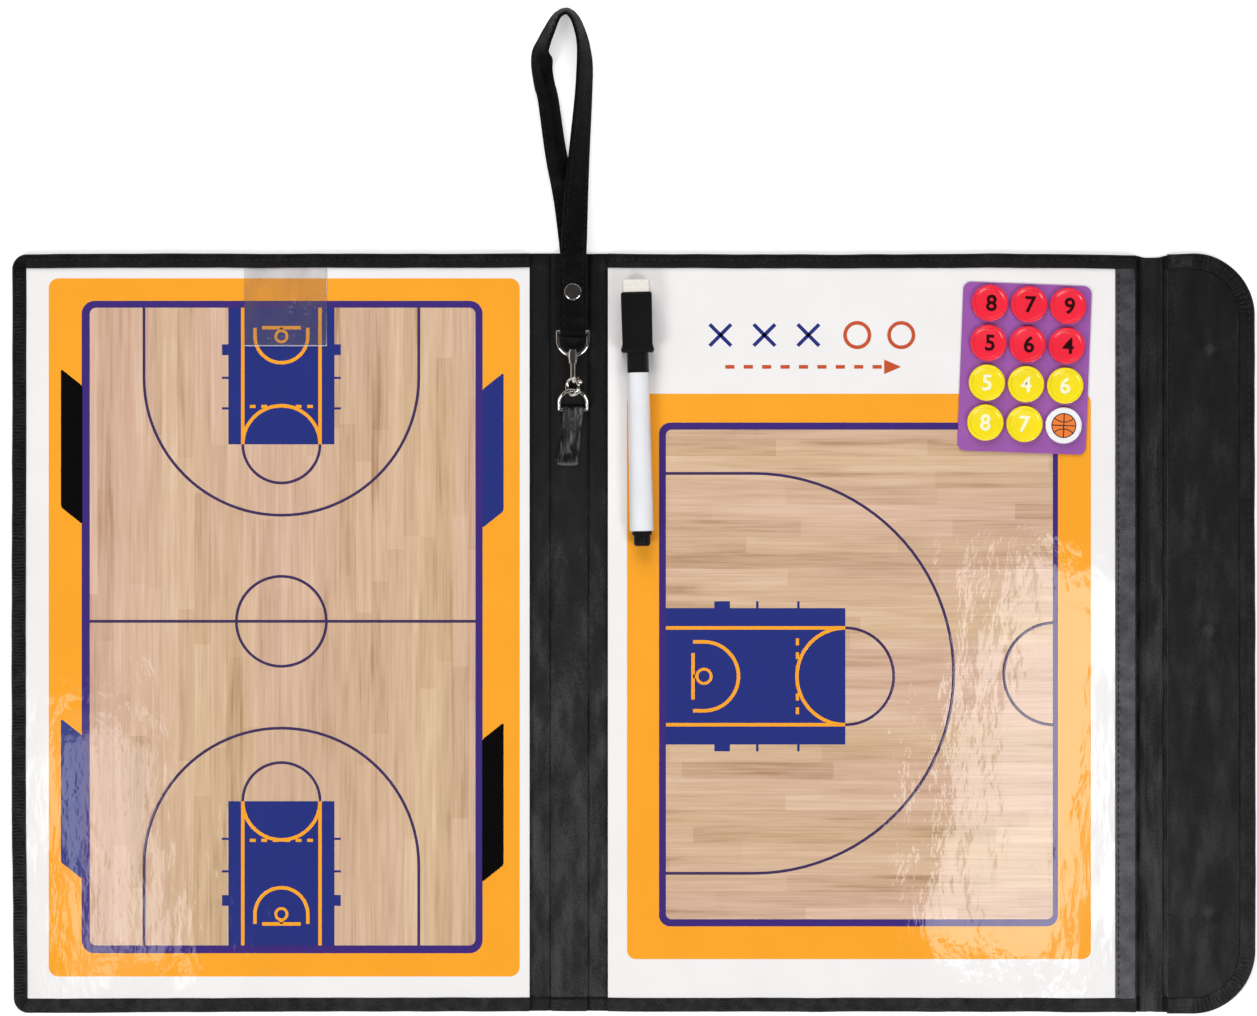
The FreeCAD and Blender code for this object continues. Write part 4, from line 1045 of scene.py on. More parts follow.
def fold_strip(name, node, seed):
    """A bare strip of leather between two stiff bodies, creased along its length."""
    low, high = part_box(node)
    width = high.x - low.x
    steps = max(8, int(width / (0.5 * MM)))
    hem_y = high.y - settings().leather.hem

    def fold_height(x, y):
        share = (x - low.x) / width
        crease = hump(share - 0.62, 0.09) - 0.8 * hump(share - 0.4, 0.12)
        hold = math.sin(math.pi * share)
        rumple = 0.16 * ripple(x * 2.2, y, 11 * MM, seed) + 0.07 * ripple(x, y, 3 * MM, seed)
        groove = 0.75 * MM * hold if width < 3 * MM else 0
        beside_spine = min(abs(x - SPINE[0].x), abs(x - SPINE[1].x))
        groove += 0.6 * MM * hump(beside_spine, 1.1 * MM)
        lip = 0.5 * MM * ease((abs(y) - hem_y) / (0.7 * MM)) * ease((high.y - abs(y)) / MM)
        return high.z + (0.16 * crease + rumple) * MM * hold - groove + lip - 0.02 * MM

    strip = deep_sheet(name, low, high, (steps, 300), fold_height)
    black = leather(f"{name}_leather", 1.0, 3, 0.2, strap_shadow(SPINE[1].x), hem_y=hem_y)
    dress(strip, black, None, [node])
    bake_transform(strip)


class BOARD_OT_flap(bpy.types.Operator):
    """Make the gusset, its folds and the flap with its rounded corners and closing magnets"""

    bl_idname = "board.flap"
    bl_label = "Flap Leather"

    # Paler spots round the corners: mm in from the free edge, and up the page
    scuffs = ((9, -132), (14, -140.5), (19, -145), (8.5, 133), (12, 138), (16.5, 142.5), (21, 145.5))

    def execute(self, context):
        look = settings().leather
        low, high = FLAP
        panel = hemmed_panel("flap_leather", low, high, look.flap_hem, look.flap_corner, "right")
        pucker_hem(panel, low, high, look.flap_hem, look.flap_corner, "right", 9.1)
        scuffs = [(Vector((high.x - u * MM, y * MM, high.z)), 1.1 * MM, 0.22) for u, y in self.scuffs]
        middle = (high.x - look.flap_corner, high.y - look.flap_corner)
        gathers = (middle, 1, look.flap_corner, look.flap_hem, 2 * MM, True, 0.8)
        black = leather("flap_black_leather", 0.55, 2, 0.17, scuffs, gathers=gathers)
        dress(panel, black, "flap", ["flap_skin"])
        self.make_lining(low, high)
        rows = sew_hem("flap_stitches", low, high, look.flap_corner, "right")
        seam_x = low.x + 1.2 * MM
        seam_end = high.y - look.flap_hem
        seam = [Vector((seam_x, y, FLAP_TOP + 0.12 * MM)) for y in (-seam_end, seam_end)]
        seam_row = sewn("flap_seam_stitches", stitch_places(seam, look.stitch_pitch))
        dress(joined("flap_stitches", [rows, seam_row]), thread("flap_thread"), "flap")
        self.make_gusset()
        fold_strip("gusset_fold", "gusset_fold_leather", 3.7)
        fold_strip("flap_fold", "flap_fold_leather", 4.9)
        return {"FINISHED"}

    def make_lining(self, low, high):
        """The flap's inner face, raised over the three magnets under it, with a painted highlight and a
        painted shadow on each bump.
        """
        inset = settings().leather.flap_hem - 0.6 * MM
        magnets_low, magnets_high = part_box("flap_magnets")
        magnet_x = (magnets_low.x + magnets_high.x) / 2
        reach = magnets_high.y - (magnets_high.x - magnets_low.x) / 2
        bumps = [(magnet_x, y) for y in (-reach, 0, reach)]

        def lining_height(x, y):
            raised = sum(math.exp(-((x - u) ** 2 + (y - v) ** 2) / (2 * (2.7 * MM) ** 2)) for u, v in bumps)
            sag = 0.16 * ripple(x, y, 30 * MM, 6.1) + 0.06 * ripple(x, y, 7 * MM, 2.2) - 0.1
            return FLAP_TOP + (0.1 + 1.05 * raised + sag) * MM

        span = (high.x - inset, high.y - inset)
        lining = leather_sheet(
            "flap_lining_face", (low.x, -span[1]), span, (30, 220), lining_height, 0.5 * MM
        )
        cut = settings().leather.flap_corner - inset
        with editing(lining):
            for sign in (-1, 1):
                for step in range(7, 90, 8):
                    angle = math.radians(step)
                    normal = Vector((math.cos(angle), sign * math.sin(angle), 0))
                    at = Vector((span[0] - cut, sign * (span[1] - cut), 0)) + normal * cut
                    cut_away(at, normal)
        # A painted highlight on the upper left of each bump and a painted shadow on its lower right.
        painted_bump_light_and_shade = []
        for u, v in bumps:
            painted_bump_light_and_shade.append((Vector((u - 0.9 * MM, v + 0.9 * MM, FLAP_TOP + MM)), 3.6 * MM, 0.17))
            painted_bump_light_and_shade.append((Vector((u + 2.6 * MM, v - 1.8 * MM, FLAP_TOP + MM)), 3 * MM, -0.2))
        black = leather("flap_lining_leather", 0.6, 4, 0.17, painted_bump_light_and_shade)
        dress(lining, black, "flap", ["flap_lining"])

    def make_gusset(self):
        """The folded side between the base and the flap, in two soft pleats."""
        low, high = GUSSET

        def gusset_height(x, y):
            share = (x - low.x) / (high.x - low.x)
            drift = 0.08 * ripple(0, y, 45 * MM, 3.3)
            pleats = 0.6 * hump(share - 0.2 - drift, 0.08)
            pleats += 0.5 * hump(share - 0.74 + drift, 0.07)
            dip = -0.45 * hump(share - 0.47 - drift, 0.1)
            hold = ease(min(share, 1 - share) / 0.08)
            rumple = 0.14 * ripple(x * 5, y, 18 * MM, 7.7) + 0.05 * ripple(x * 2, y, 4 * MM, 1.1)
            return FOLD_TOP + (pleats + dip + rumple - 0.7) * MM * hold

        gusset = deep_sheet("gusset_leather", low, high, (40, 170), gusset_height)
        black = leather("gusset_black_leather", 1.0, 4)
        dress(gusset, black, "gusset", ["gusset_skin", "gusset_lining"])


# Court prints: thin closed layers of ink, one on the other, numbered from the sheet up

BORDER_INK, FRAME_INK, FLOOR_INK, LINE_INK, KEY_LINE_INK = range(1, 6)


def ink_span(layer):
    """Lower and upper height of a layer of ink over the sheet."""
    ink = settings().print.ink
    return SHEET_TOP + (layer - 1) * ink, SHEET_TOP + layer * ink


def ink_field(name, low, high, layer, radius):
    """A printed field with rounded corners."""
    piece = block(name, (*low, SHEET_TOP - settings().print.ink), (*high, ink_span(layer)[1]))
    round_corners(piece, radius, 8)
    return piece


def round_corners(piece, radius, segments):
    """Rounds the upright edges of a printed shape."""
    with editing(piece):
        pick_edges(piece, lambda at, run: is_upright(run))
        round_picked(radius, segments)


def ink_bar(start, end, width, layer):
    """A straight printed line from one point to another."""
    bottom, top = ink_span(layer)
    start, end = Vector((*start, 0)), Vector((*end, 0))
    run = end - start
    piece = block("bar", (-run.length / 2, -width / 2, bottom), (run.length / 2, width / 2, top))
    return set_place(piece, turned((start + end) / 2, math.atan2(run.y, run.x)))


def flat_ring(centre, radius, width, bottom, top, segments):
    """A flattened ring between two heights, with segments round it and round its section."""
    ring = primitive(
        "torus", "flat_ring", major_radius=radius, minor_radius=width / 2,
        major_segments=segments[0], minor_segments=segments[1],
    )
    ring.scale.z = (top - bottom) / width
    ring.location = (*centre, (top + bottom) / 2)
    bpy.ops.object.transform_apply()
    return ring


def ink_ring(centre, radius, width, layer, keep=None):
    """A printed ring, or the half of it on the keep side: a direction from its centre."""
    ring = flat_ring(centre, radius, width, *ink_span(layer), (96, 8))
    if keep:
        with editing(ring):
            cut_away((*centre, 0), (*keep, 0), "inner")
    return ring


def ink_shape(name, outline, layer):
    """A printed shape with straight sides, from its corners in order."""
    bottom, top = ink_span(layer)
    count = len(outline)
    points = [(*corner, bottom) for corner in outline] + [(*corner, top) for corner in outline]
    sides = [(i, (i + 1) % count, count + (i + 1) % count, count + i) for i in range(count)]
    caps = [tuple(reversed(range(count))), tuple(range(count, 2 * count))]
    return mesh_piece(name, points, sides + caps)


def printed(name, pieces, material, body):
    """Printed pieces of one ink, joined and dressed."""
    return dress(joined(name, pieces), material, body)


def dashes(start, end, count, width, layer):
    """A broken line of equal dashes."""
    start, end = Vector(start), Vector(end)
    step = (end - start) / (2 * count - 1)
    return [ink_bar(start + 2 * i * step, start + (2 * i + 1) * step, width, layer) for i in range(count)]


def on_court(points, origin, along):
    """Points given along the court and across it from the baseline's middle, as places on the sheet."""
    run = Vector(along)
    across = Vector((-run.y, run.x))
    return [tuple(Vector(origin) + run * forward + across * side) for forward, side in points]


class CourtEnd:
    """One end of a court: key, circles, basket and three-point line from the middle of its baseline."""

    def __init__(self, origin, along, sizes):
        self.origin, self.along, self.sizes = origin, along, sizes

    def at(self, forward, side):
        return on_court([(forward, side)], self.origin, self.along)[0]

    def field(self, name, near, far, half, layer):
        corners = [(near, -half), (far, -half), (far, half), (near, half)]
        return ink_shape(name, on_court(corners, self.origin, self.along), layer)

    def line(self, start, end, width, layer):
        return ink_bar(self.at(*start), self.at(*end), width, layer)

    def key(self):
        """The filled key with the ticks along its sides."""
        size = self.sizes
        pieces = [self.field("key", 0, size["key_length"], size["key_half"], LINE_INK)]
        for hand in (-1, 1):
            for forward, width in size["ticks"]:
                start = (forward, hand * size["key_half"])
                end = (forward, hand * (size["key_half"] + size["tick"]))
                pieces.append(self.line(start, end, width, LINE_INK))
        return pieces

    def court_lines(self):
        """The half circle past the key, and the three-point line."""
        size, width = self.sizes, settings().print.line
        middle = size["arc_reach"] - size["arc_half"]
        pieces = [
            ink_ring(self.at(size["key_length"], 0), size["circle"], width, LINE_INK, self.along),
            ink_ring(self.at(middle, size["arc_side"]), size["arc_half"], width, LINE_INK, self.along),
        ]
        for hand in (-1, 1):
            side = hand * size["arc_half"] + size["arc_side"]
            pieces.append(self.line((0, side), (middle, side), width, LINE_INK))
        return pieces

    def key_lines(self):
        """The lines inside the key: its sides and circle, the basket, the guard arc and the broken line."""
        size, width, ink = self.sizes, settings().print.line * 1.25, KEY_LINE_INK
        board, hoop = size["board_at"], size["hoop_at"]
        back = tuple(-share for share in self.along)
        pieces = [
            ink_ring(self.at(size["key_length"], 0), size["circle"], width, ink, back),
            ink_ring(self.at(hoop, 0), size["guard"], width, ink, self.along),
            ink_ring(self.at(hoop, 0), size["hoop"], width * 0.8, ink),
            self.line((board, -size["board_half"]), (board, size["board_half"]), width, ink),
            self.line((board, 0), (hoop - size["hoop"], 0), width, ink),
        ]
        for hand in (-1, 1):
            side = hand * size["line_half"]
            pieces.append(self.line((0, side), (size["key_length"], side), width, ink))
            side = hand * size["guard"]
            pieces.append(self.line((board, side), (hoop, side), width, ink))
        ends = [self.at(size["dash_at"], side) for side in (-size["dash_half"], size["dash_half"])]
        return pieces + dashes(*ends, 6, width * 0.9, ink)


def paint_sheet(node, body, prefix, fields, wood_along, ends, extra_lines):
    """The inks of one sheet: border, court frame, planks, lines, keys and the lines inside the keys."""
    look = settings().print
    paint_nodes(laminate(f"{prefix}_sheet", look.sheet), node)
    border, frame_field, floor = fields
    amber = laminate(f"{prefix}_amber_ink", look.amber)
    violet = laminate(f"{prefix}_violet_ink", look.violet)
    navy = laminate(f"{prefix}_navy_ink", look.navy)
    planks = court_planks(f"{prefix}_planks_ink", wood_along)
    for name, (low, high, radius), layer, ink in (
        ("border", border, BORDER_INK, amber),
        ("frame", frame_field, FRAME_INK, violet),
        ("floor", floor, FLOOR_INK, planks),
    ):
        printed(f"{prefix}_{name}", [ink_field(name, low, high, layer, radius)], ink, body)
    lines = [line for end in ends for line in end.court_lines()] + extra_lines
    printed(f"{prefix}_lines", lines, laminate(f"{prefix}_line_ink", look.line_ink), body)
    printed(f"{prefix}_keys", [piece for end in ends for piece in end.key()], navy, body)
    printed(f"{prefix}_key_lines", [piece for end in ends for piece in end.key_lines()], amber, body)


class BOARD_OT_full_court(bpy.types.Operator):
    """Print the full court on the cover's sheet"""

    bl_idname = "board.full_court"
    bl_label = "Full Court Print"

    # Border, frame and floor: two corners and a corner radius each
    fields = metres((
        ((-336.8, -140.4), (-144.1, 145.2), 4),
        ((-323.3, -130.9), (-159.3, 136), 5.3),
        ((-320, -127.7), (-162.2, 133.2), 2.6),
    ))
    middle_x, middle_y, centre_circle = metres((-241.6, 4.9, 18.4))
    upper_end = metres({
        "key_length": 55.9, "key_half": 21.7, "line_half": 15.8, "circle": 15.8,
        "arc_half": 56.2, "arc_side": 0, "arc_reach": 84.9, "hoop_at": 11.7, "hoop": 2.3,
        "guard": 10.8, "board_at": 8.2, "board_half": 7.9, "dash_at": 40.4, "dash_half": 12.9,
        "tick": 2.6, "ticks": ((17.2, 4.4), (28.7, 0.9), (41.2, 0.9)),
    })
    lower_end = upper_end | metres({
        "key_length": 59, "arc_reach": 88.9, "hoop_at": 12.8, "board_at": 8.8, "dash_at": 43,
        "ticks": ((18.4, 4.4), (30.3, 0.9), (43.6, 0.9)),
    })
    # Side tabs: outer and inner edge, top and bottom
    dark_tabs = metres(((-331.8, -323, 108.2, 44.6), (-150.7, -159.5, -36.5, -101.8)))
    blue_tabs = metres(((-331.8, -323, -34.9, -100.6), (-150.7, -159.5, 106.6, 43)))
    tab_slant, tab_corner = metres((7, 1))

    def execute(self, context):
        look = settings().print
        floor_low, floor_high = self.fields[2][:2]
        ends = [
            CourtEnd((self.middle_x, floor_high[1]), (0, -1), self.upper_end),
            CourtEnd((self.middle_x, floor_low[1]), (0, 1), self.lower_end),
        ]
        line_ends = [(x, self.middle_y) for x in (floor_low[0], floor_high[0])]
        halfway = [
            ink_bar(*line_ends, look.line, LINE_INK),
            ink_ring((self.middle_x, self.middle_y), self.centre_circle, look.line, LINE_INK),
        ]
        paint_sheet("cover_court_sheet", "cover", "full_court", self.fields, "Y", ends, halfway)
        dark = [self.side_tab(*tab) for tab in self.dark_tabs]
        blue = [self.side_tab(*tab) for tab in self.blue_tabs]
        printed("full_court_dark_tabs", dark, laminate("full_court_black_ink", look.black), "cover")
        printed("full_court_blue_tabs", blue, laminate("full_court_tab_ink", look.navy), "cover")
        return {"FINISHED"}

    def side_tab(self, outer, inner, top, bottom):
        """A tab with slanted ends between the border and the court's frame."""
        slant = self.tab_slant
        corners = [(outer, top), (inner, top - slant), (inner, bottom), (outer, bottom + slant)]
        tab = ink_shape("side_tab", corners, FLOOR_INK)
        round_corners(tab, self.tab_corner, 4)
        return tab


class BOARD_OT_half_court(bpy.types.Operator):
    """Print the half court and a row of playing marks on the base's sheet"""

    bl_idname = "board.half_court"
    bl_label = "Half Court Print"

    # Border, frame and floor: two corners and a corner radius each
    fields = metres((
        ((-100.2, -133.3), (89.6, 98), 3.6),
        ((-87.1, -119.9), (76.1, 86.2), 4.6),
        ((-84.3, -117), (74, 83.3), 2.4),
    ))
    middle_y, centre_circle = metres((-17.6, 20.9))
    circle_shift = metres((0.8, 1))
    end = metres({
        "key_length": 73.4, "key_half": 27.9, "line_half": 19.8, "circle": 19.8,
        "arc_half": 81.8, "arc_side": 1.2, "arc_reach": 117.7, "hoop_at": 15.6, "hoop": 2.9,
        "guard": 14.1, "board_at": 11.1, "board_half": 9.5, "dash_at": 53.8, "dash_half": 15.5,
        "tick": 2.8, "ticks": ((23, 6.4), (37.4, 1), (54.2, 1)),
    })
    # Marks over the court: crosses and rings in a row, and an arrow under them
    crosses_x, rings_x, marks_y = metres(((-62, -44, -26), (-6, 12), 122))
    cross_reach, ring_radius, mark_width = metres((4.4, 5, 1.5))
    arrow_start, arrow_end = metres(((-60, 109), (4, 109)))
    arrow_head = metres(((5, 106), (12, 109), (5, 112)))

    def execute(self, context):
        floor_low, floor_high = self.fields[2][:2]
        ends = [CourtEnd((floor_low[0], self.middle_y), (1, 0), self.end)]
        across, up = self.circle_shift
        centre = (floor_high[0] + across, self.middle_y + up)
        halfway = [ink_ring(centre, self.centre_circle, settings().print.line, LINE_INK, (-1, 0))]
        paint_sheet("base_court_sheet", "base", "half_court", self.fields, "X", ends, halfway)
        self.print_marks()
        return {"FINISHED"}

    def print_marks(self):
        """Crosses, rings and a broken arrow, the plain signs of a tactics drawing, over the court."""
        look = settings().print
        width, y, reach = self.mark_width, self.marks_y, self.cross_reach
        defence = []
        for x in self.crosses_x:
            defence.append(ink_bar((x - reach, y - reach), (x + reach, y + reach), width, BORDER_INK))
            defence.append(ink_bar((x - reach, y + reach), (x + reach, y - reach), width, BORDER_INK))
        attack = [ink_ring((x, y), self.ring_radius, width, BORDER_INK) for x in self.rings_x]
        attack += dashes(self.arrow_start, self.arrow_end, 9, width, BORDER_INK)
        attack.append(ink_shape("arrow", self.arrow_head, BORDER_INK))
        printed("defence_marks", defence, laminate("defence_ink", look.navy), "base")
        printed("attack_marks", attack, laminate("attack_ink", look.rust), "base")


class BOARD_OT_clear_tab(bpy.types.Operator):
    """Make the clear paper tab that hangs from the cover's top hem"""

    bl_idname = "board.clear_tab"
    bl_label = "Clear Tab"

    def execute(self, context):
        low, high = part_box("clear_paper_tab")
        hem_edge = COVER[1].y - settings().leather.hem
        lift, rise, unevenness, tuck, thickness = metres((0.12, 0.5, 0.1, 1, 0.22))

        def tab_height(x, y):
            share = ease((hem_edge - y) / (hem_edge - low.y))
            return high.z + lift + rise * share + unevenness * ripple(x, y, 12 * MM, 2.9)

        tab = leather_sheet("clear_tab", low, (high.x, hem_edge + tuck), (24, 24), tab_height, thickness)
        film = hazy_film("clear_tab_film", settings().pieces.film, low, high)
        dress(tab, film, "cover", ["clear_paper_tab"])
        return {"FINISHED"}


# Wrist strap, its leather tab and the metal between them


def swept(name, stations, profile):
    """A band whose cross section, given across and up, is carried along stations of centre, across and up.

    A station may add an angle by which the band is folded down along its middle.
    """
    points, faces, ring = [], [], len(profile)
    for centre, across, up, *fold in stations:
        bend, drop = (math.cos(fold[0]), math.sin(fold[0])) if fold else (1, 0)
        section = [(u, v) if u <= 0 else (u * bend + v * drop, v * bend - u * drop) for u, v in profile]
        points += [centre + across * u + up * v for u, v in section]
    for row in range(len(stations) - 1):
        for i in range(ring):
            j = (i + 1) % ring
            faces.append((row * ring + i, row * ring + j, (row + 1) * ring + j, (row + 1) * ring + i))
    faces.append(tuple(reversed(range(ring))))
    faces.append(tuple(range(len(points) - ring, len(points))))
    return mesh_piece(name, points, faces)


def through(rows, share):
    """A place on the smooth line between the second and third of four rows of numbers."""
    before, start, end, after = rows
    bend = 2 * before - 5 * start + 4 * end - after
    twist = 3 * start - before - 3 * end + after
    return (2 * start + (end - before) * share + bend * share ** 2 + twist * share ** 3) / 2


def half_turn(bar, radius, sign):
    """Stations of half a turn round a bar along X: down past +Y, or with sign -1 up past -Y."""
    steps = 12
    angles = [math.pi * step / steps for step in range(steps + 1)]
    normals = [Vector((0, sign * math.sin(angle), sign * math.cos(angle))) for angle in angles]
    return [(bar + normal * radius, Vector((sign, 0, 0)), normal) for normal in normals]


def band_profile(width, thickness, crown=0.0):
    """The outline of a flat band with rounded edges, fuller in its middle by the crown."""
    half, ply, corner = width / 2, thickness / 2, thickness * 0.36
    bevel, shoulder, crest = corner * 0.3, ply - 0.05 * MM, ply + crown
    left = [(-half, -ply + corner), (-half, ply - corner)]
    left += [(-half + bevel, ply - bevel), (-half + corner, ply)]
    upper = [(half * share, shoulder if abs(share) > 0.5 else crest) for share in (-0.8, -0.5, 0, 0.5, 0.8)]
    right = [(half - corner, ply), (half - bevel, ply - bevel), (half, ply - corner)]
    lower = [(half, -ply + corner), (half - bevel, -ply + bevel), (half - corner, -ply), (0, -ply)]
    lower += [(-half + corner, -ply), (-half + bevel, -ply + bevel)]
    return left + upper + right + lower


class BOARD_OT_wrist_strap(bpy.types.Operator):
    """Make the wrist strap: one band round the eye's bar, through the rivet and into the hand loop"""

    bl_idname = "board.wrist_strap"
    bl_label = "Wrist Strap"

    width, ply, crown = metres((10.4, 1.3, 0.12))
    wire_radius, bar_radius = metres((0.75, 0.85))
    loop_past_rivet, tail_past_rivet, end_gap = metres((3.6, 9, 4))
    stitch_inset, stitch_lift, under_start = metres((1.4, 0.04, 6))
    # Radians of lengthwise fold past which the folded edge has no sewing
    sewn_fold = 0.05
    # Up the loop in mm: where it starts to sink to the table, how long that takes and how far it arches
    sink_start, sink_run, arch_run = 6, 50, 70
    # The hand loop's middle from the rivet and back: aside and up in mm, lean and lengthwise fold in degrees
    route = (
        (0, 0, 0, 0), (0.4, 12.5, 3, 0), (1.3, 34.4, 22, 0), (2.5, 52.8, 38, 0), (4.2, 75.4, 51, 0),
        (4.8, 89, 55, 0), (4.3, 97, 63, 0), (3.1, 102.6, 68, 0), (0.7, 108.6, 72, 0), (-2.6, 111.3, 74, 0),
        (-6.5, 109.4, 72, 0), (-9.6, 103.7, 64, 0), (-11.9, 98.6, 58, 0), (-13.3, 95, 52, 6),
        (-13.5, 91.5, 48, 40), (-12.7, 87, 40, 74), (-11.2, 81, 29, 74), (-9.6, 75.4, 23, 72),
        (-6.5, 52.8, 22, 64), (-2.9, 34.4, 15, 28), (-0.1, 12.5, 2, 0), (0, 0, 0, 0),
    )

    def execute(self, context):
        self.middle_x = (RIVET[0].x + RIVET[1].x) / 2
        self.bar_y = EYE[1].y - self.wire_radius
        self.bar_z = (EYE[0].z + EYE[1].z) / 2
        self.wrap = self.bar_radius + self.ply / 2
        self.rivet_y = (RIVET[0].y + RIVET[1].y) / 2
        self.loop_start = self.rivet_y + self.loop_past_rivet
        turn = half_turn(Vector((self.middle_x, self.bar_y, self.bar_z)), self.wrap, -1)
        stations = self.tail() + turn + self.loop() + self.return_run()
        band = swept("wrist_strap_leather", stations, band_profile(self.width, self.ply, self.crown))
        smooth(band, 50)
        dress(band, leather("strap_leather", 0.27, shine=0.07), "strap", ["wrist_strap"])
        dress(self.edge_stitches(), thread("strap_thread", 0.35), "strap")
        return {"FINISHED"}

    def straight(self, start, end, z, up, steps):
        """Stations of a flat stretch at one height, with its upper face up or down."""
        run = (end - start) / steps
        across = Vector((-up if end > start else up, 0, 0))
        places = [Vector((self.middle_x, start + run * i, z)) for i in range(steps + 1)]
        return [(place, across, Vector((0, 0, up))) for place in places]

    def tail(self):
        """The short end under the layers, from its tip to the bar."""
        tip = self.rivet_y + self.tail_past_rivet
        return self.straight(tip, self.bar_y, self.bar_z - self.wrap, -1, 8)[:-1]

    def resting_height(self, lean, fold):
        """How high the band's middle is when its lower edge lies on the table."""
        half, ply = self.width / 2, self.ply / 2
        outer = half * math.sin(lean) + ply * math.cos(lean)
        inner = half * math.sin(max(fold - lean, 0)) + ply * math.cos(fold - lean)
        return max(outer, inner) + 0.1 * MM

    def loop_line(self):
        """The hand loop's route as a smooth line, each point with its aside, up, lean and fold."""
        line, steps, last = [], 8, len(self.route) - 1
        for index in range(last):
            near_rows = [Vector(self.route[min(max(index + i, 0), last)]) for i in (-1, 0, 1, 2)]
            line += [through(near_rows, step / steps) for step in range(steps)]
        return line + [Vector(self.route[-1])]

    def loop_middles(self, line):
        """The band's middle along the loop, from the layers at the rivet to the table and back."""
        top = max(range(len(line)), key=lambda i: line[i][1])
        middles = []
        for index, (aside, up, lean, fold) in enumerate(line):
            start = self.bar_z + (self.wrap if index < top else 0)
            rest = self.resting_height(math.radians(lean), math.radians(fold))
            height = start + (rest - start) * ease((up - self.sink_start) / self.sink_run)
            if index < top:
                height += MM * math.sin(math.pi * min(up / self.arch_run, 1))
            middles.append(Vector((self.middle_x + aside * MM, self.loop_start + up * MM, height)))
        return middles

    def loop(self):
        """The top layer from the bar past the rivet, and the hand loop that stands on its edge at its end."""
        stations = self.straight(self.bar_y, self.loop_start, self.bar_z + self.wrap, 1, 12)[1:-1]
        line = self.loop_line()
        middles = self.loop_middles(line)
        last = len(line) - 1
        for index, (_, _, lean, fold) in enumerate(line):
            run = middles[min(index + 1, last)] - middles[max(index - 1, 0)]
            if index in (0, last):
                run = Vector((0, run.y, 0))
            run.normalize()
            inward = Vector((-run.y, run.x, 0)).normalized()
            across = inward * math.cos(math.radians(lean)) + UP * math.sin(math.radians(lean))
            across = (across - run * across.dot(run)).normalized()
            stations.append((middles[index], across, across.cross(run) * -1, math.radians(fold)))
        return stations

    def return_run(self):
        """The middle layer, back under the rivet to its hidden end."""
        end = self.bar_y + self.wrap + self.ply / 2 + self.end_gap
        centre, across, up = self.loop()[-1][:3]
        steps = 8
        run = (end - self.loop_start) / steps
        return [(centre + Vector((0, run * i, 0)), across, up) for i in range(1, steps + 1)]

    def edge_stitches(self):
        """Sewing along both edges of the band, on both faces of the loop."""
        pitch = settings().leather.stitch_pitch
        aside, lift = self.width / 2 - self.stitch_inset, self.ply / 2 + self.stitch_lift
        places = []
        stations = self.loop()
        for hand in (-1, 1):
            for face in (-1, 1):
                line, ups = [], []
                for centre, across, up, *fold in stations:
                    if face < 0 and centre.y < self.loop_start + self.under_start:
                        continue
                    if hand > 0 and fold and fold[0] > self.sewn_fold:
                        break
                    line.append(centre + across * (hand * aside) + up * (face * lift))
                    ups.append(up * face)
                for at, run, _ in stitch_places(line, pitch):
                    index = min(range(len(line)), key=lambda i: (line[i] - at).length_squared)
                    places.append((at, run, ups[index]))
        return sewn("strap_stitches", places)


class BOARD_OT_leather_tab(bpy.types.Operator):
    """Make the folded leather tab that holds the ring, with its open mouth"""

    bl_idname = "board.leather_tab"
    bl_label = "Leather Tab"

    ply, setback, mouth_rise = metres((0.6, 1.5, 1.15))
    lean, sway, dent = metres((2.2, 0.35, 0.22))
    fold_rise, crease_rise = metres((0.75, 0.15))
    mouth_shift = Vector(metres((-2.1, 2.4, 2)))
    steps = 16

    def execute(self, context):
        low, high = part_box("leather_tab")
        self.middle_x = (low.x + high.x) / 2
        self.bar_y = high.y - (high.z - low.z) / 2
        self.bar_z = (high.z + low.z) / 2
        self.wrap = (high.z - low.z) / 2 - self.ply / 2
        turn = half_turn(Vector((self.middle_x, self.bar_y, self.bar_z)), self.wrap, 1)[1:-1]
        stations = self.upper_run(low) + turn + self.lower_run(low)
        tab = swept("ring_tab_leather", stations, band_profile(high.x - low.x, self.ply))
        finish_with(tab, "SUBSURF", levels=2, render_levels=2)
        for corner in tab.data.vertices:
            at = corner.co
            if at.z > low.z + 1.2 * self.ply and at.y < self.bar_y:
                folds = self.fold_rise * ripple(at.x, at.y * 0.2, 1.9 * MM, 3.8)
                at.z += folds + self.crease_rise * ripple(at.x, at.y, 1.1 * MM, 5.1)
        smooth(tab, 60)
        mouth = Vector((self.middle_x, low.y, low.z)) + self.mouth_shift
        dress(tab, crumpled_leather("tab_leather", mouth), "spine", ["leather_tab"])
        return {"FINISHED"}

    def station(self, foot, y, z, normal, spread=1.0):
        """A place along the tab, which leans towards its foot and is dented on top."""
        leaning = ease((self.bar_y - y) / (self.bar_y - foot))
        aside = -self.lean * leaning + self.sway * ripple(y, z, 6 * MM, 4.2)
        dent = self.dent * ripple(y, 3, 5 * MM, 6.8) if z > self.bar_z else 0
        return Vector((self.middle_x + aside, y, z + dent)), Vector((spread, 0, 0)), normal

    def upper_run(self, low):
        """The top layer, from its open mouth at the foot up to the ring's bar."""
        stations = []
        for step in range(self.steps + 1):
            share = step / self.steps
            y = low.y + self.setback + (self.bar_y - low.y - self.setback) * share
            mouth = self.mouth_rise * hump(share, 0.2)
            z = low.z + 1.5 * self.ply + mouth + (self.wrap * 2 - self.ply) * ease((share - 0.62) / 0.38)
            stations.append(self.station(low.y, y, z, UP, 1 - 0.1 * math.sin(math.pi * share)))
        return stations

    def lower_run(self, low):
        """The under layer, from the bar back to the foot."""
        places = [self.bar_y + (low.y - self.bar_y) * step / self.steps for step in range(self.steps + 1)]
        return [self.station(low.y, y, low.z + self.ply / 2, -UP) for y in places]


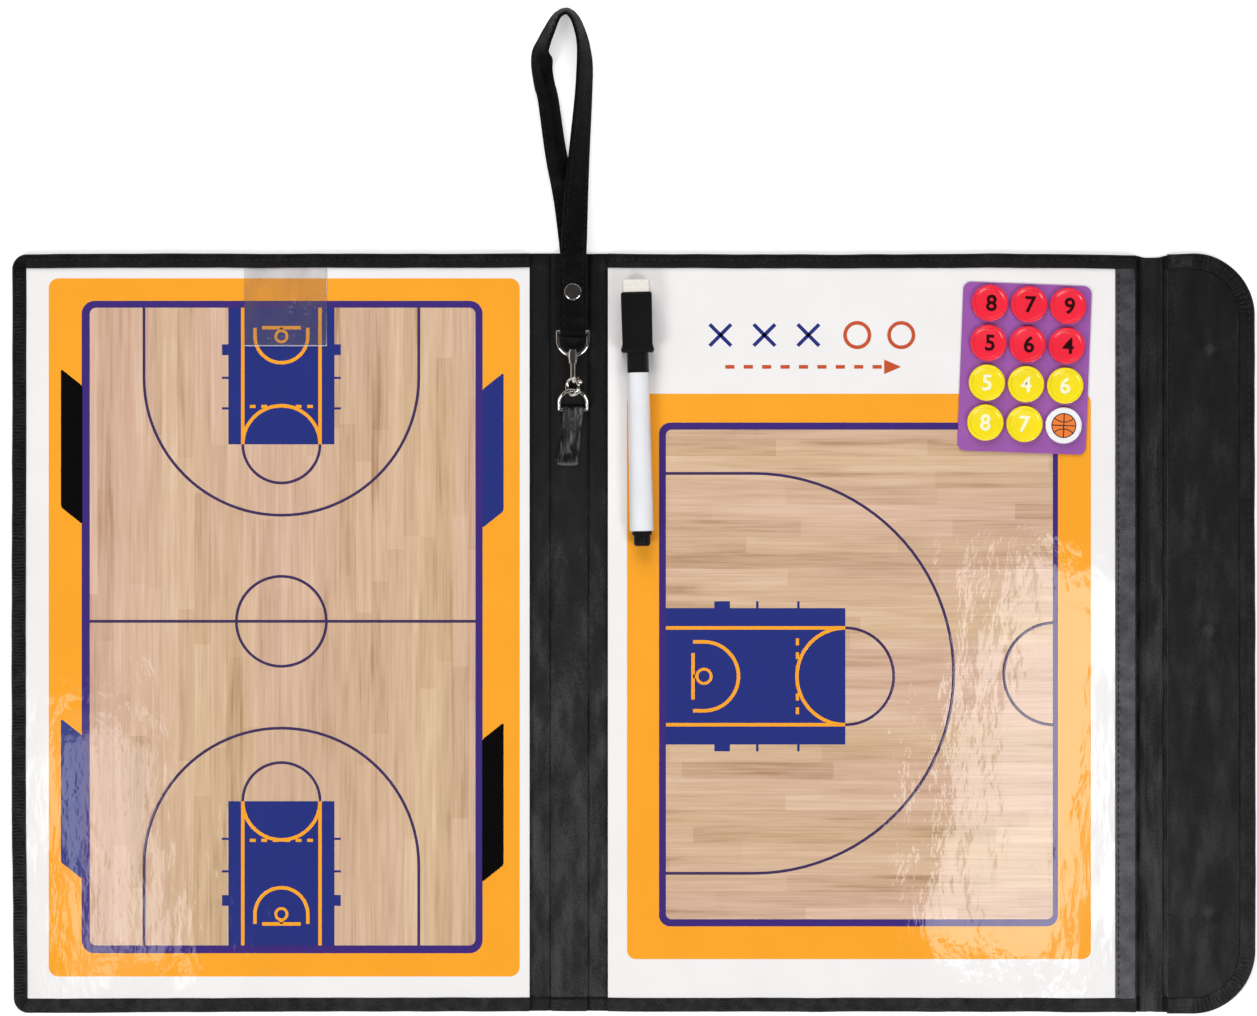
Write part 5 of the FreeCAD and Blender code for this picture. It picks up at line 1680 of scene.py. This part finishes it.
class BOARD_OT_hardware(bpy.types.Operator):
    """Plate the ring, snap hook, swivel eye and rivet"""

    bl_idname = "board.hardware"
    bl_label = "Plated Hardware"

    def execute(self, context):
        nickel = plated("nickel_plate", settings().pieces.nickel)
        nodes = ("tab_ring", "hook_body", "hook_gate", "gate_pin", "swivel_eye", "rivet_cap", "rivet_tail")
        paint_nodes(nickel, *nodes)
        return {"FINISHED"}


class BOARD_OT_pen(bpy.types.Operator):
    """Make the pen's cap and eraser, and finish its barrel, plug and inner pieces"""

    bl_idname = "board.pen"
    bl_label = "Pen"

    foot = Vector((-94 * MM, 35.73 * MM, 8.7 * MM))
    tilt = math.radians(1.35)

    def execute(self, context):
        look = settings().pieces
        place = turned(self.foot, self.tilt)
        black = plastic("pen_black_plastic", look.black_plastic, 0.32, 0.12)
        paint_nodes(plastic("pen_white_plastic", look.white_plastic, 0.22), "pen_barrel")
        paint_nodes(black, "pen_end_plug", "pen_nib_holder")
        paint_nodes(felt_pad("ink_felt", look.pen_ink), "pen_nib", "ink_reservoir")
        paint_nodes(plated("cap_magnet_plate", look.cap_magnet), "cap_magnet")
        cap = set_place(self.make_cap(), place)
        dress(cap, black, "cap", ["pen_cap"])
        eraser = set_place(self.make_eraser(), place)
        dress(eraser, felt_pad("eraser_felt", look.felt), "cap", ["cap_eraser"])
        return {"FINISHED"}

    def make_cap(self):
        """A block that flares at its foot, with a bored neck for the pen."""
        neck_low, low, high = metres((70.7, 78.9, 103.5))
        half, depth, rounding = metres((6.65, 5.2, 1.1))
        neck_radius, neck_sink = metres((4.43, 1))
        bore_radius, bore_depth, overrun = metres((3.6, 27, 1))
        # Heights over the foot, and how wide the block is at each
        flare = ((0, 1.0), (1 * MM, 1.02), (3.4 * MM, 0.925), (6.5 * MM, 0.93))
        cap = block("cap_block", (-half, low, -depth), (half, high, depth))
        with editing(cap):
            for rise, wide in flare[1:]:
                bpy.ops.mesh.select_all(action="SELECT")
                bpy.ops.mesh.bisect(plane_co=(0, low + rise, 0), plane_no=(0, 1, 0))
            for rise, wide in flare:
                pick_edges(cap, lambda at, run: near(at.y, low + rise) and abs(run.y) < 0.1 * MM)
                bpy.ops.transform.resize(value=(wide, 1, 1), center_override=(0, low + rise, 0))
            pick_faces(cap, lambda at, normal: normal.y > 0.9)
            bpy.ops.transform.resize(value=(0.95, 1, 1), center_override=(0, high, 0))
        sharp = math.radians(50)
        finish_with(cap, "BEVEL", width=rounding, segments=5, limit_method="ANGLE", angle_limit=sharp)
        neck = self.round_bar("cap_neck", neck_radius, neck_low, low + neck_sink)
        self.carve(cap, neck, "UNION")
        bore = self.round_bar("cap_bore", bore_radius, neck_low - overrun, neck_low + bore_depth)
        self.carve(cap, bore, "DIFFERENCE")
        smooth(cap, 35)
        cap.name = "pen_cap_moulding"
        return cap

    def round_bar(self, name, radius, low, high):
        """A round bar along the pen."""
        bar = primitive(
            "cylinder", name, vertices=64, radius=radius, depth=high - low,
            location=(0, (low + high) / 2, 0), rotation=(math.pi / 2, 0, 0),
        )
        bpy.ops.object.transform_apply()
        return bar

    def carve(self, piece, tool, operation):
        """Joins a tool to the piece or cuts it away, and removes the tool."""
        finish_with(piece, "BOOLEAN", object=tool, operation=operation, solver="EXACT")
        bpy.data.objects.remove(tool)

    def make_eraser(self):
        """The pressed felt block in the cap's end, with a worn edge."""
        low, high = metres((101, 108.9))
        half, depth = metres((5.6, 4.1))
        pad = block("eraser_block", (-half, low, -depth), (half, high, depth))
        finish_with(pad, "BEVEL", width=1 * MM, segments=3, limit_method="ANGLE")
        finish_with(pad, "REMESH", mode="VOXEL", voxel_size=0.4 * MM)
        for corner in pad.data.vertices:
            at = corner.co
            if at.y > high - 4 * MM:
                at.y -= 0.35 * MM * (0.5 + 0.5 * ripple(at.x, at.z, 2.2 * MM, 5.5))
                at.x *= 1 + 0.015 * ripple(at.y, at.z, 1.6 * MM, 2.4)
        smooth(pad, 60)
        pad.name = "eraser_pad"
        return pad


class BOARD_OT_magnets(bpy.types.Operator):
    """Number the magnets, print the ball and finish the card"""

    bl_idname = "board.magnets"
    bl_label = "Magnets and Card"

    tilt = math.radians(-2.2)
    red = (8, 7, 9, 5, 6, 4)
    yellow = (5, 4, 6, 8, 7)
    recess = 0.35 * MM
    bold, proud, rounding = metres((0.16, 0.06, 0.03))
    digit_lift, red_shift = metres((0.05, 0.6))
    digit_share = 0.72
    ball_radius, seam_width, ball_ink = metres((5.1, 0.42, 0.04))

    def execute(self, context):
        look = settings().pieces
        paint_nodes(plastic("card_purple", look.card, 0.42), "magnet_card")
        red = plastic("magnet_red", look.red, 0.18, 0.5)
        yellow = plastic("magnet_yellow", look.yellow, 0.18, 0.5)
        dark_digit = plastic("digit_black", look.dark_digit, 0.35, 0.12)
        pale_digit = plastic("digit_white", look.pale_digit, 0.3)
        disc = self.make_disc()
        for prefix, digits, material, ink in (
            ("red", self.red, red, dark_digit),
            ("yellow", self.yellow, yellow, pale_digit),
        ):
            for digit in digits:
                node = f"{prefix}_magnet_{digit}"
                body = set_place(copied(disc, f"{node}_disc"), turned(self.face_of(node, 0), self.tilt))
                dress(body, material, node, [node])
                dress(self.number(digit, node), ink, node)
        paint_nodes(plastic("magnet_white", look.white_magnet, 0.25), "ball_magnet")
        bpy.data.objects.remove(disc)
        self.print_ball()
        return {"FINISHED"}

    def make_disc(self):
        """A moulded disc with a round lip about its dished face, its top at the origin."""
        low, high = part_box("red_magnet_8")
        radius, depth = (high.x - low.x) / 2, high.z - low.z
        lip, slope, rounding = metres((1.15, 0.45, 0.42))
        disc = primitive(
            "cylinder", "disc", vertices=96, radius=radius, depth=depth, location=(0, 0, -depth / 2)
        )
        bpy.ops.object.transform_apply()
        with editing(disc):
            pick_faces(disc, faces_up)
            bpy.ops.mesh.inset(thickness=lip)
            bpy.ops.mesh.inset(thickness=slope)
            bpy.ops.transform.translate(value=(0, 0, -self.recess))
        soften(disc, rounding, 5)
        return disc

    def face_of(self, node, depth):
        """The middle of a magnet's face, at a depth under its rim."""
        low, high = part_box(node)
        return Vector(((low.x + high.x) / 2, (low.y + high.y) / 2, high.z - depth))

    def number(self, digit, node):
        """A plain bold number, moulded proud of the magnet's face."""
        bpy.ops.object.select_all(action="DESELECT")
        bpy.ops.object.text_add()
        text = bpy.context.object
        text.data.body = str(digit)
        text.data.align_x, text.data.align_y = "CENTER", "CENTER"
        text.data.size = settings().pieces.digit / self.digit_share
        text.data.offset, text.data.extrude, text.data.bevel_depth = self.bold, self.proud, self.rounding
        bpy.ops.object.convert(target="MESH")
        text = bpy.context.object
        text.data.transform(Matrix.Translation(-box_middle(text)))
        shift = Vector((self.red_shift if node.startswith("red") else 0, 0, 0))
        set_place(text, turned(self.face_of(node, self.recess - self.digit_lift) + shift, self.tilt))
        text.name = f"{node}_number"
        return text

    def print_ball(self):
        """A plain ball with its seams, printed on the white magnet."""
        look = settings().pieces
        radius, seam, ink = self.ball_radius, self.seam_width, self.ball_ink
        disc = primitive("cylinder", "ball_print", vertices=64, radius=radius, depth=2 * ink)
        soften(disc, ink / 2, 1)
        seams = [
            block("seam", (-seam / 2, -radius, 0), (seam / 2, radius, 2 * ink)),
            block("seam", (-radius, -seam / 2, 0), (radius, seam / 2, 2 * ink)),
            self.seam_ring((0, 0), radius - seam / 2, None),
            self.seam_ring((0, radius * 1.39), radius * 1.11, (0, -1)),
            self.seam_ring((0, -radius * 1.39), radius * 1.11, (0, 1)),
        ]
        lines = joined("ball_seams", seams)
        place = turned(self.face_of("ball_magnet", 0), self.tilt)
        orange = plastic("ball_orange", look.ball, 0.35)
        dress(set_place(disc, place), orange, "ball_magnet")
        seam_ink = plastic("ball_seam_ink", look.seam_ink, 0.35)
        dress(set_place(lines, place), seam_ink, "ball_magnet")

    def seam_ring(self, centre, radius, keep):
        """A seam's ring; an open one is cut where it leaves the ball."""
        ring = flat_ring(centre, radius, self.seam_width, 0, 2 * self.ball_ink, (72, 6))
        if keep:
            ball = self.ball_radius
            cut = Vector(centre).length
            level = (cut * cut - radius * radius + ball * ball) / (2 * cut)
            with editing(ring):
                cut_away((0, -keep[1] * level, 0), (*keep, 0), "inner")
        return ring


class BOARD_OT_inner_layers(bpy.types.Operator):
    """Finish the boards, steel sheets and magnets inside the panels"""

    bl_idname = "board.inner_layers"
    bl_label = "Inner Layers"

    def execute(self, context):
        look = settings().pieces
        boards = grey_card("stiffener_card", look.grey_card)
        paint_nodes(boards, "cover_board", "base_board", "flap_board", "spine_stiffener")
        steel = plated("steel_sheet_plate", look.steel)
        paint_nodes(steel, "cover_steel_sheet", "base_steel_sheet", "cover_keepers")
        paint_nodes(plated("closing_magnet_plate", look.closing_magnet), "flap_magnets")
        return {"FINISHED"}


# Stage


class BOARD_OT_stage(bpy.types.Operator):
    """Set up the floor, the lamps, the room's light and the camera"""

    bl_idname = "board.stage"
    bl_label = "Stage"

    middle = Vector((-99.6 * MM, 51.25 * MM, 0))
    # Lamps from the middle of the view: place, size and the setting of their power
    lamps = (
        ("key_lamp", Vector((-0.2, 1.15, 0.9)), (1, 1), "key_power"),
        ("strip_lamp", Vector((0.1, 0.9, 1.2)), (0.9, 0.06), "strip_power"),
        ("side_lamp", Vector((0.72, -0.55, 1.15)), (0.5, 0.5), "side_power"),
        ("low_lamp", Vector((-0.75, -0.6, 1.15)), (0.5, 0.5), "low_power"),
    )
    # Windows straight above the film: place, size, turn and share of the windows' power
    windows = (
        ("right_window", Vector((0.305, -0.19, 1.3)), (0.11, 0.29), math.radians(-11), 1),
        ("left_window", Vector((-0.389, -0.25, 1.3)), (0.07, 0.2), math.radians(8), 0.3),
    )

    def execute(self, context):
        look = settings().stage
        scene = context.scene
        scene.view_settings.view_transform = "Standard"
        middle = self.middle
        self.make_floor()
        self.make_room(scene, look.surround)
        for name, at, size, setting in self.lamps:
            lamp = self.lamp(name, middle + at, middle, size, getattr(look, setting))
            lamp.visible_glossy = name != "key_lamp"
        for name, at, size, turn, share in self.windows:
            below = middle + at - UP
            window = self.lamp(name, middle + at, below, size, look.window_power * share)
            window.rotation_euler.rotate_axis("Z", turn)
        camera = bpy.data.cameras.new("overhead_camera")
        camera.lens = camera.sensor_width * look.view_height / look.view_width
        viewer = bpy.data.objects.new("overhead_camera", camera)
        viewer.location = middle + UP * look.view_height
        scene.collection.objects.link(viewer)
        scene.camera = viewer
        return {"FINISHED"}

    def lamp(self, name, at, aim, size, power):
        """An area lamp at a place, turned towards its aim."""
        light = bpy.data.lights.new(name, "AREA")
        light.shape = "RECTANGLE"
        light.size, light.size_y = size
        light.energy = power
        lamp = bpy.data.objects.new(name, light)
        lamp.location = at
        lamp.rotation_euler = (aim - at).to_track_quat("-Z", "Y").to_euler()
        bpy.context.scene.collection.objects.link(lamp)
        return lamp

    def make_floor(self):
        """A pale table top that looks white to the camera and keeps the folder's shadow."""
        floor = primitive("plane", "table_top", size=6, location=self.middle - UP * (0.6 * MM))
        finish = Finish("table_white", roughness=0.9, specular_ior_level=0.1)
        speckle = finish.noise(4, 2)
        finish.wear(base_color=finish.ramp(speckle, (0.3, (0.8, 0.8, 0.8)), (0.7, (0.82, 0.82, 0.82))))
        glow = finish.node("ShaderNodeEmission", None, Strength=finish.math("MULTIPLY", finish.seen(), 0.42))
        both = finish.node("ShaderNodeAddShader", None, _0=finish.shader.outputs[0], _1=glow.outputs[0])
        output = finish.tree.nodes["Material Output"]
        finish.tree.links.new(both.outputs[0], output.inputs["Surface"])
        floor.data.materials.append(finish.material)

    def make_room(self, scene, surround):
        """A white room under a dim ceiling, at full brightness where the camera or a mirror sees it."""
        world = bpy.data.worlds.new("white_room")
        world.use_nodes = True
        scene.world = world
        room = NodeTree(world.node_tree, "Generated")
        light = room.tree.nodes["Background"].inputs
        room.feed(light["Strength"], room.between(room.seen(), surround, 1, 0, 1))
        room.feed(light["Color"], room.ramp(room.axes()[2], (0.1, (1, 1, 1)), (0.5, (0.05, 0.05, 0.05))))


OPERATORS = (
    BOARD_OT_cover,
    BOARD_OT_base,
    BOARD_OT_spine,
    BOARD_OT_flap,
    BOARD_OT_full_court,
    BOARD_OT_half_court,
    BOARD_OT_clear_tab,
    BOARD_OT_leather_tab,
    BOARD_OT_wrist_strap,
    BOARD_OT_hardware,
    BOARD_OT_pen,
    BOARD_OT_magnets,
    BOARD_OT_inner_layers,
    BOARD_OT_stage,
)
GROUPS = (LeatherSettings, PrintSettings, PieceSettings, StageSettings, BoardSettings)


class VIEW3D_PT_tactics_board(bpy.types.Panel):
    """Settings and pieces of the tactics board"""

    bl_label = "Tactics Board"
    bl_idname = "VIEW3D_PT_tactics_board"
    bl_space_type = "VIEW_3D"
    bl_region_type = "UI"
    bl_category = "Tactics Board"

    def draw(self, context):
        for group in ("leather", "print", "pieces", "stage"):
            box = self.layout.box()
            box.label(text=group.title())
            values = getattr(settings(), group)
            for name in values.bl_rna.properties.keys():
                if name not in ("rna_type", "name"):
                    box.prop(values, name)
        for operator in OPERATORS:
            self.layout.operator(operator.bl_idname)


def register():
    for entry in (*GROUPS, *OPERATORS, VIEW3D_PT_tactics_board):
        bpy.utils.register_class(entry)
    bpy.types.Scene.tactics_board = PointerProperty(type=BoardSettings)


def unregister():
    del bpy.types.Scene.tactics_board
    for entry in reversed((*GROUPS, *OPERATORS, VIEW3D_PT_tactics_board)):
        bpy.utils.unregister_class(entry)


def main():
    register()
    for operator in OPERATORS:
        family, name = operator.bl_idname.split(".")
        getattr(getattr(bpy.ops, family), name)()


if __name__ == "__main__":
    main()
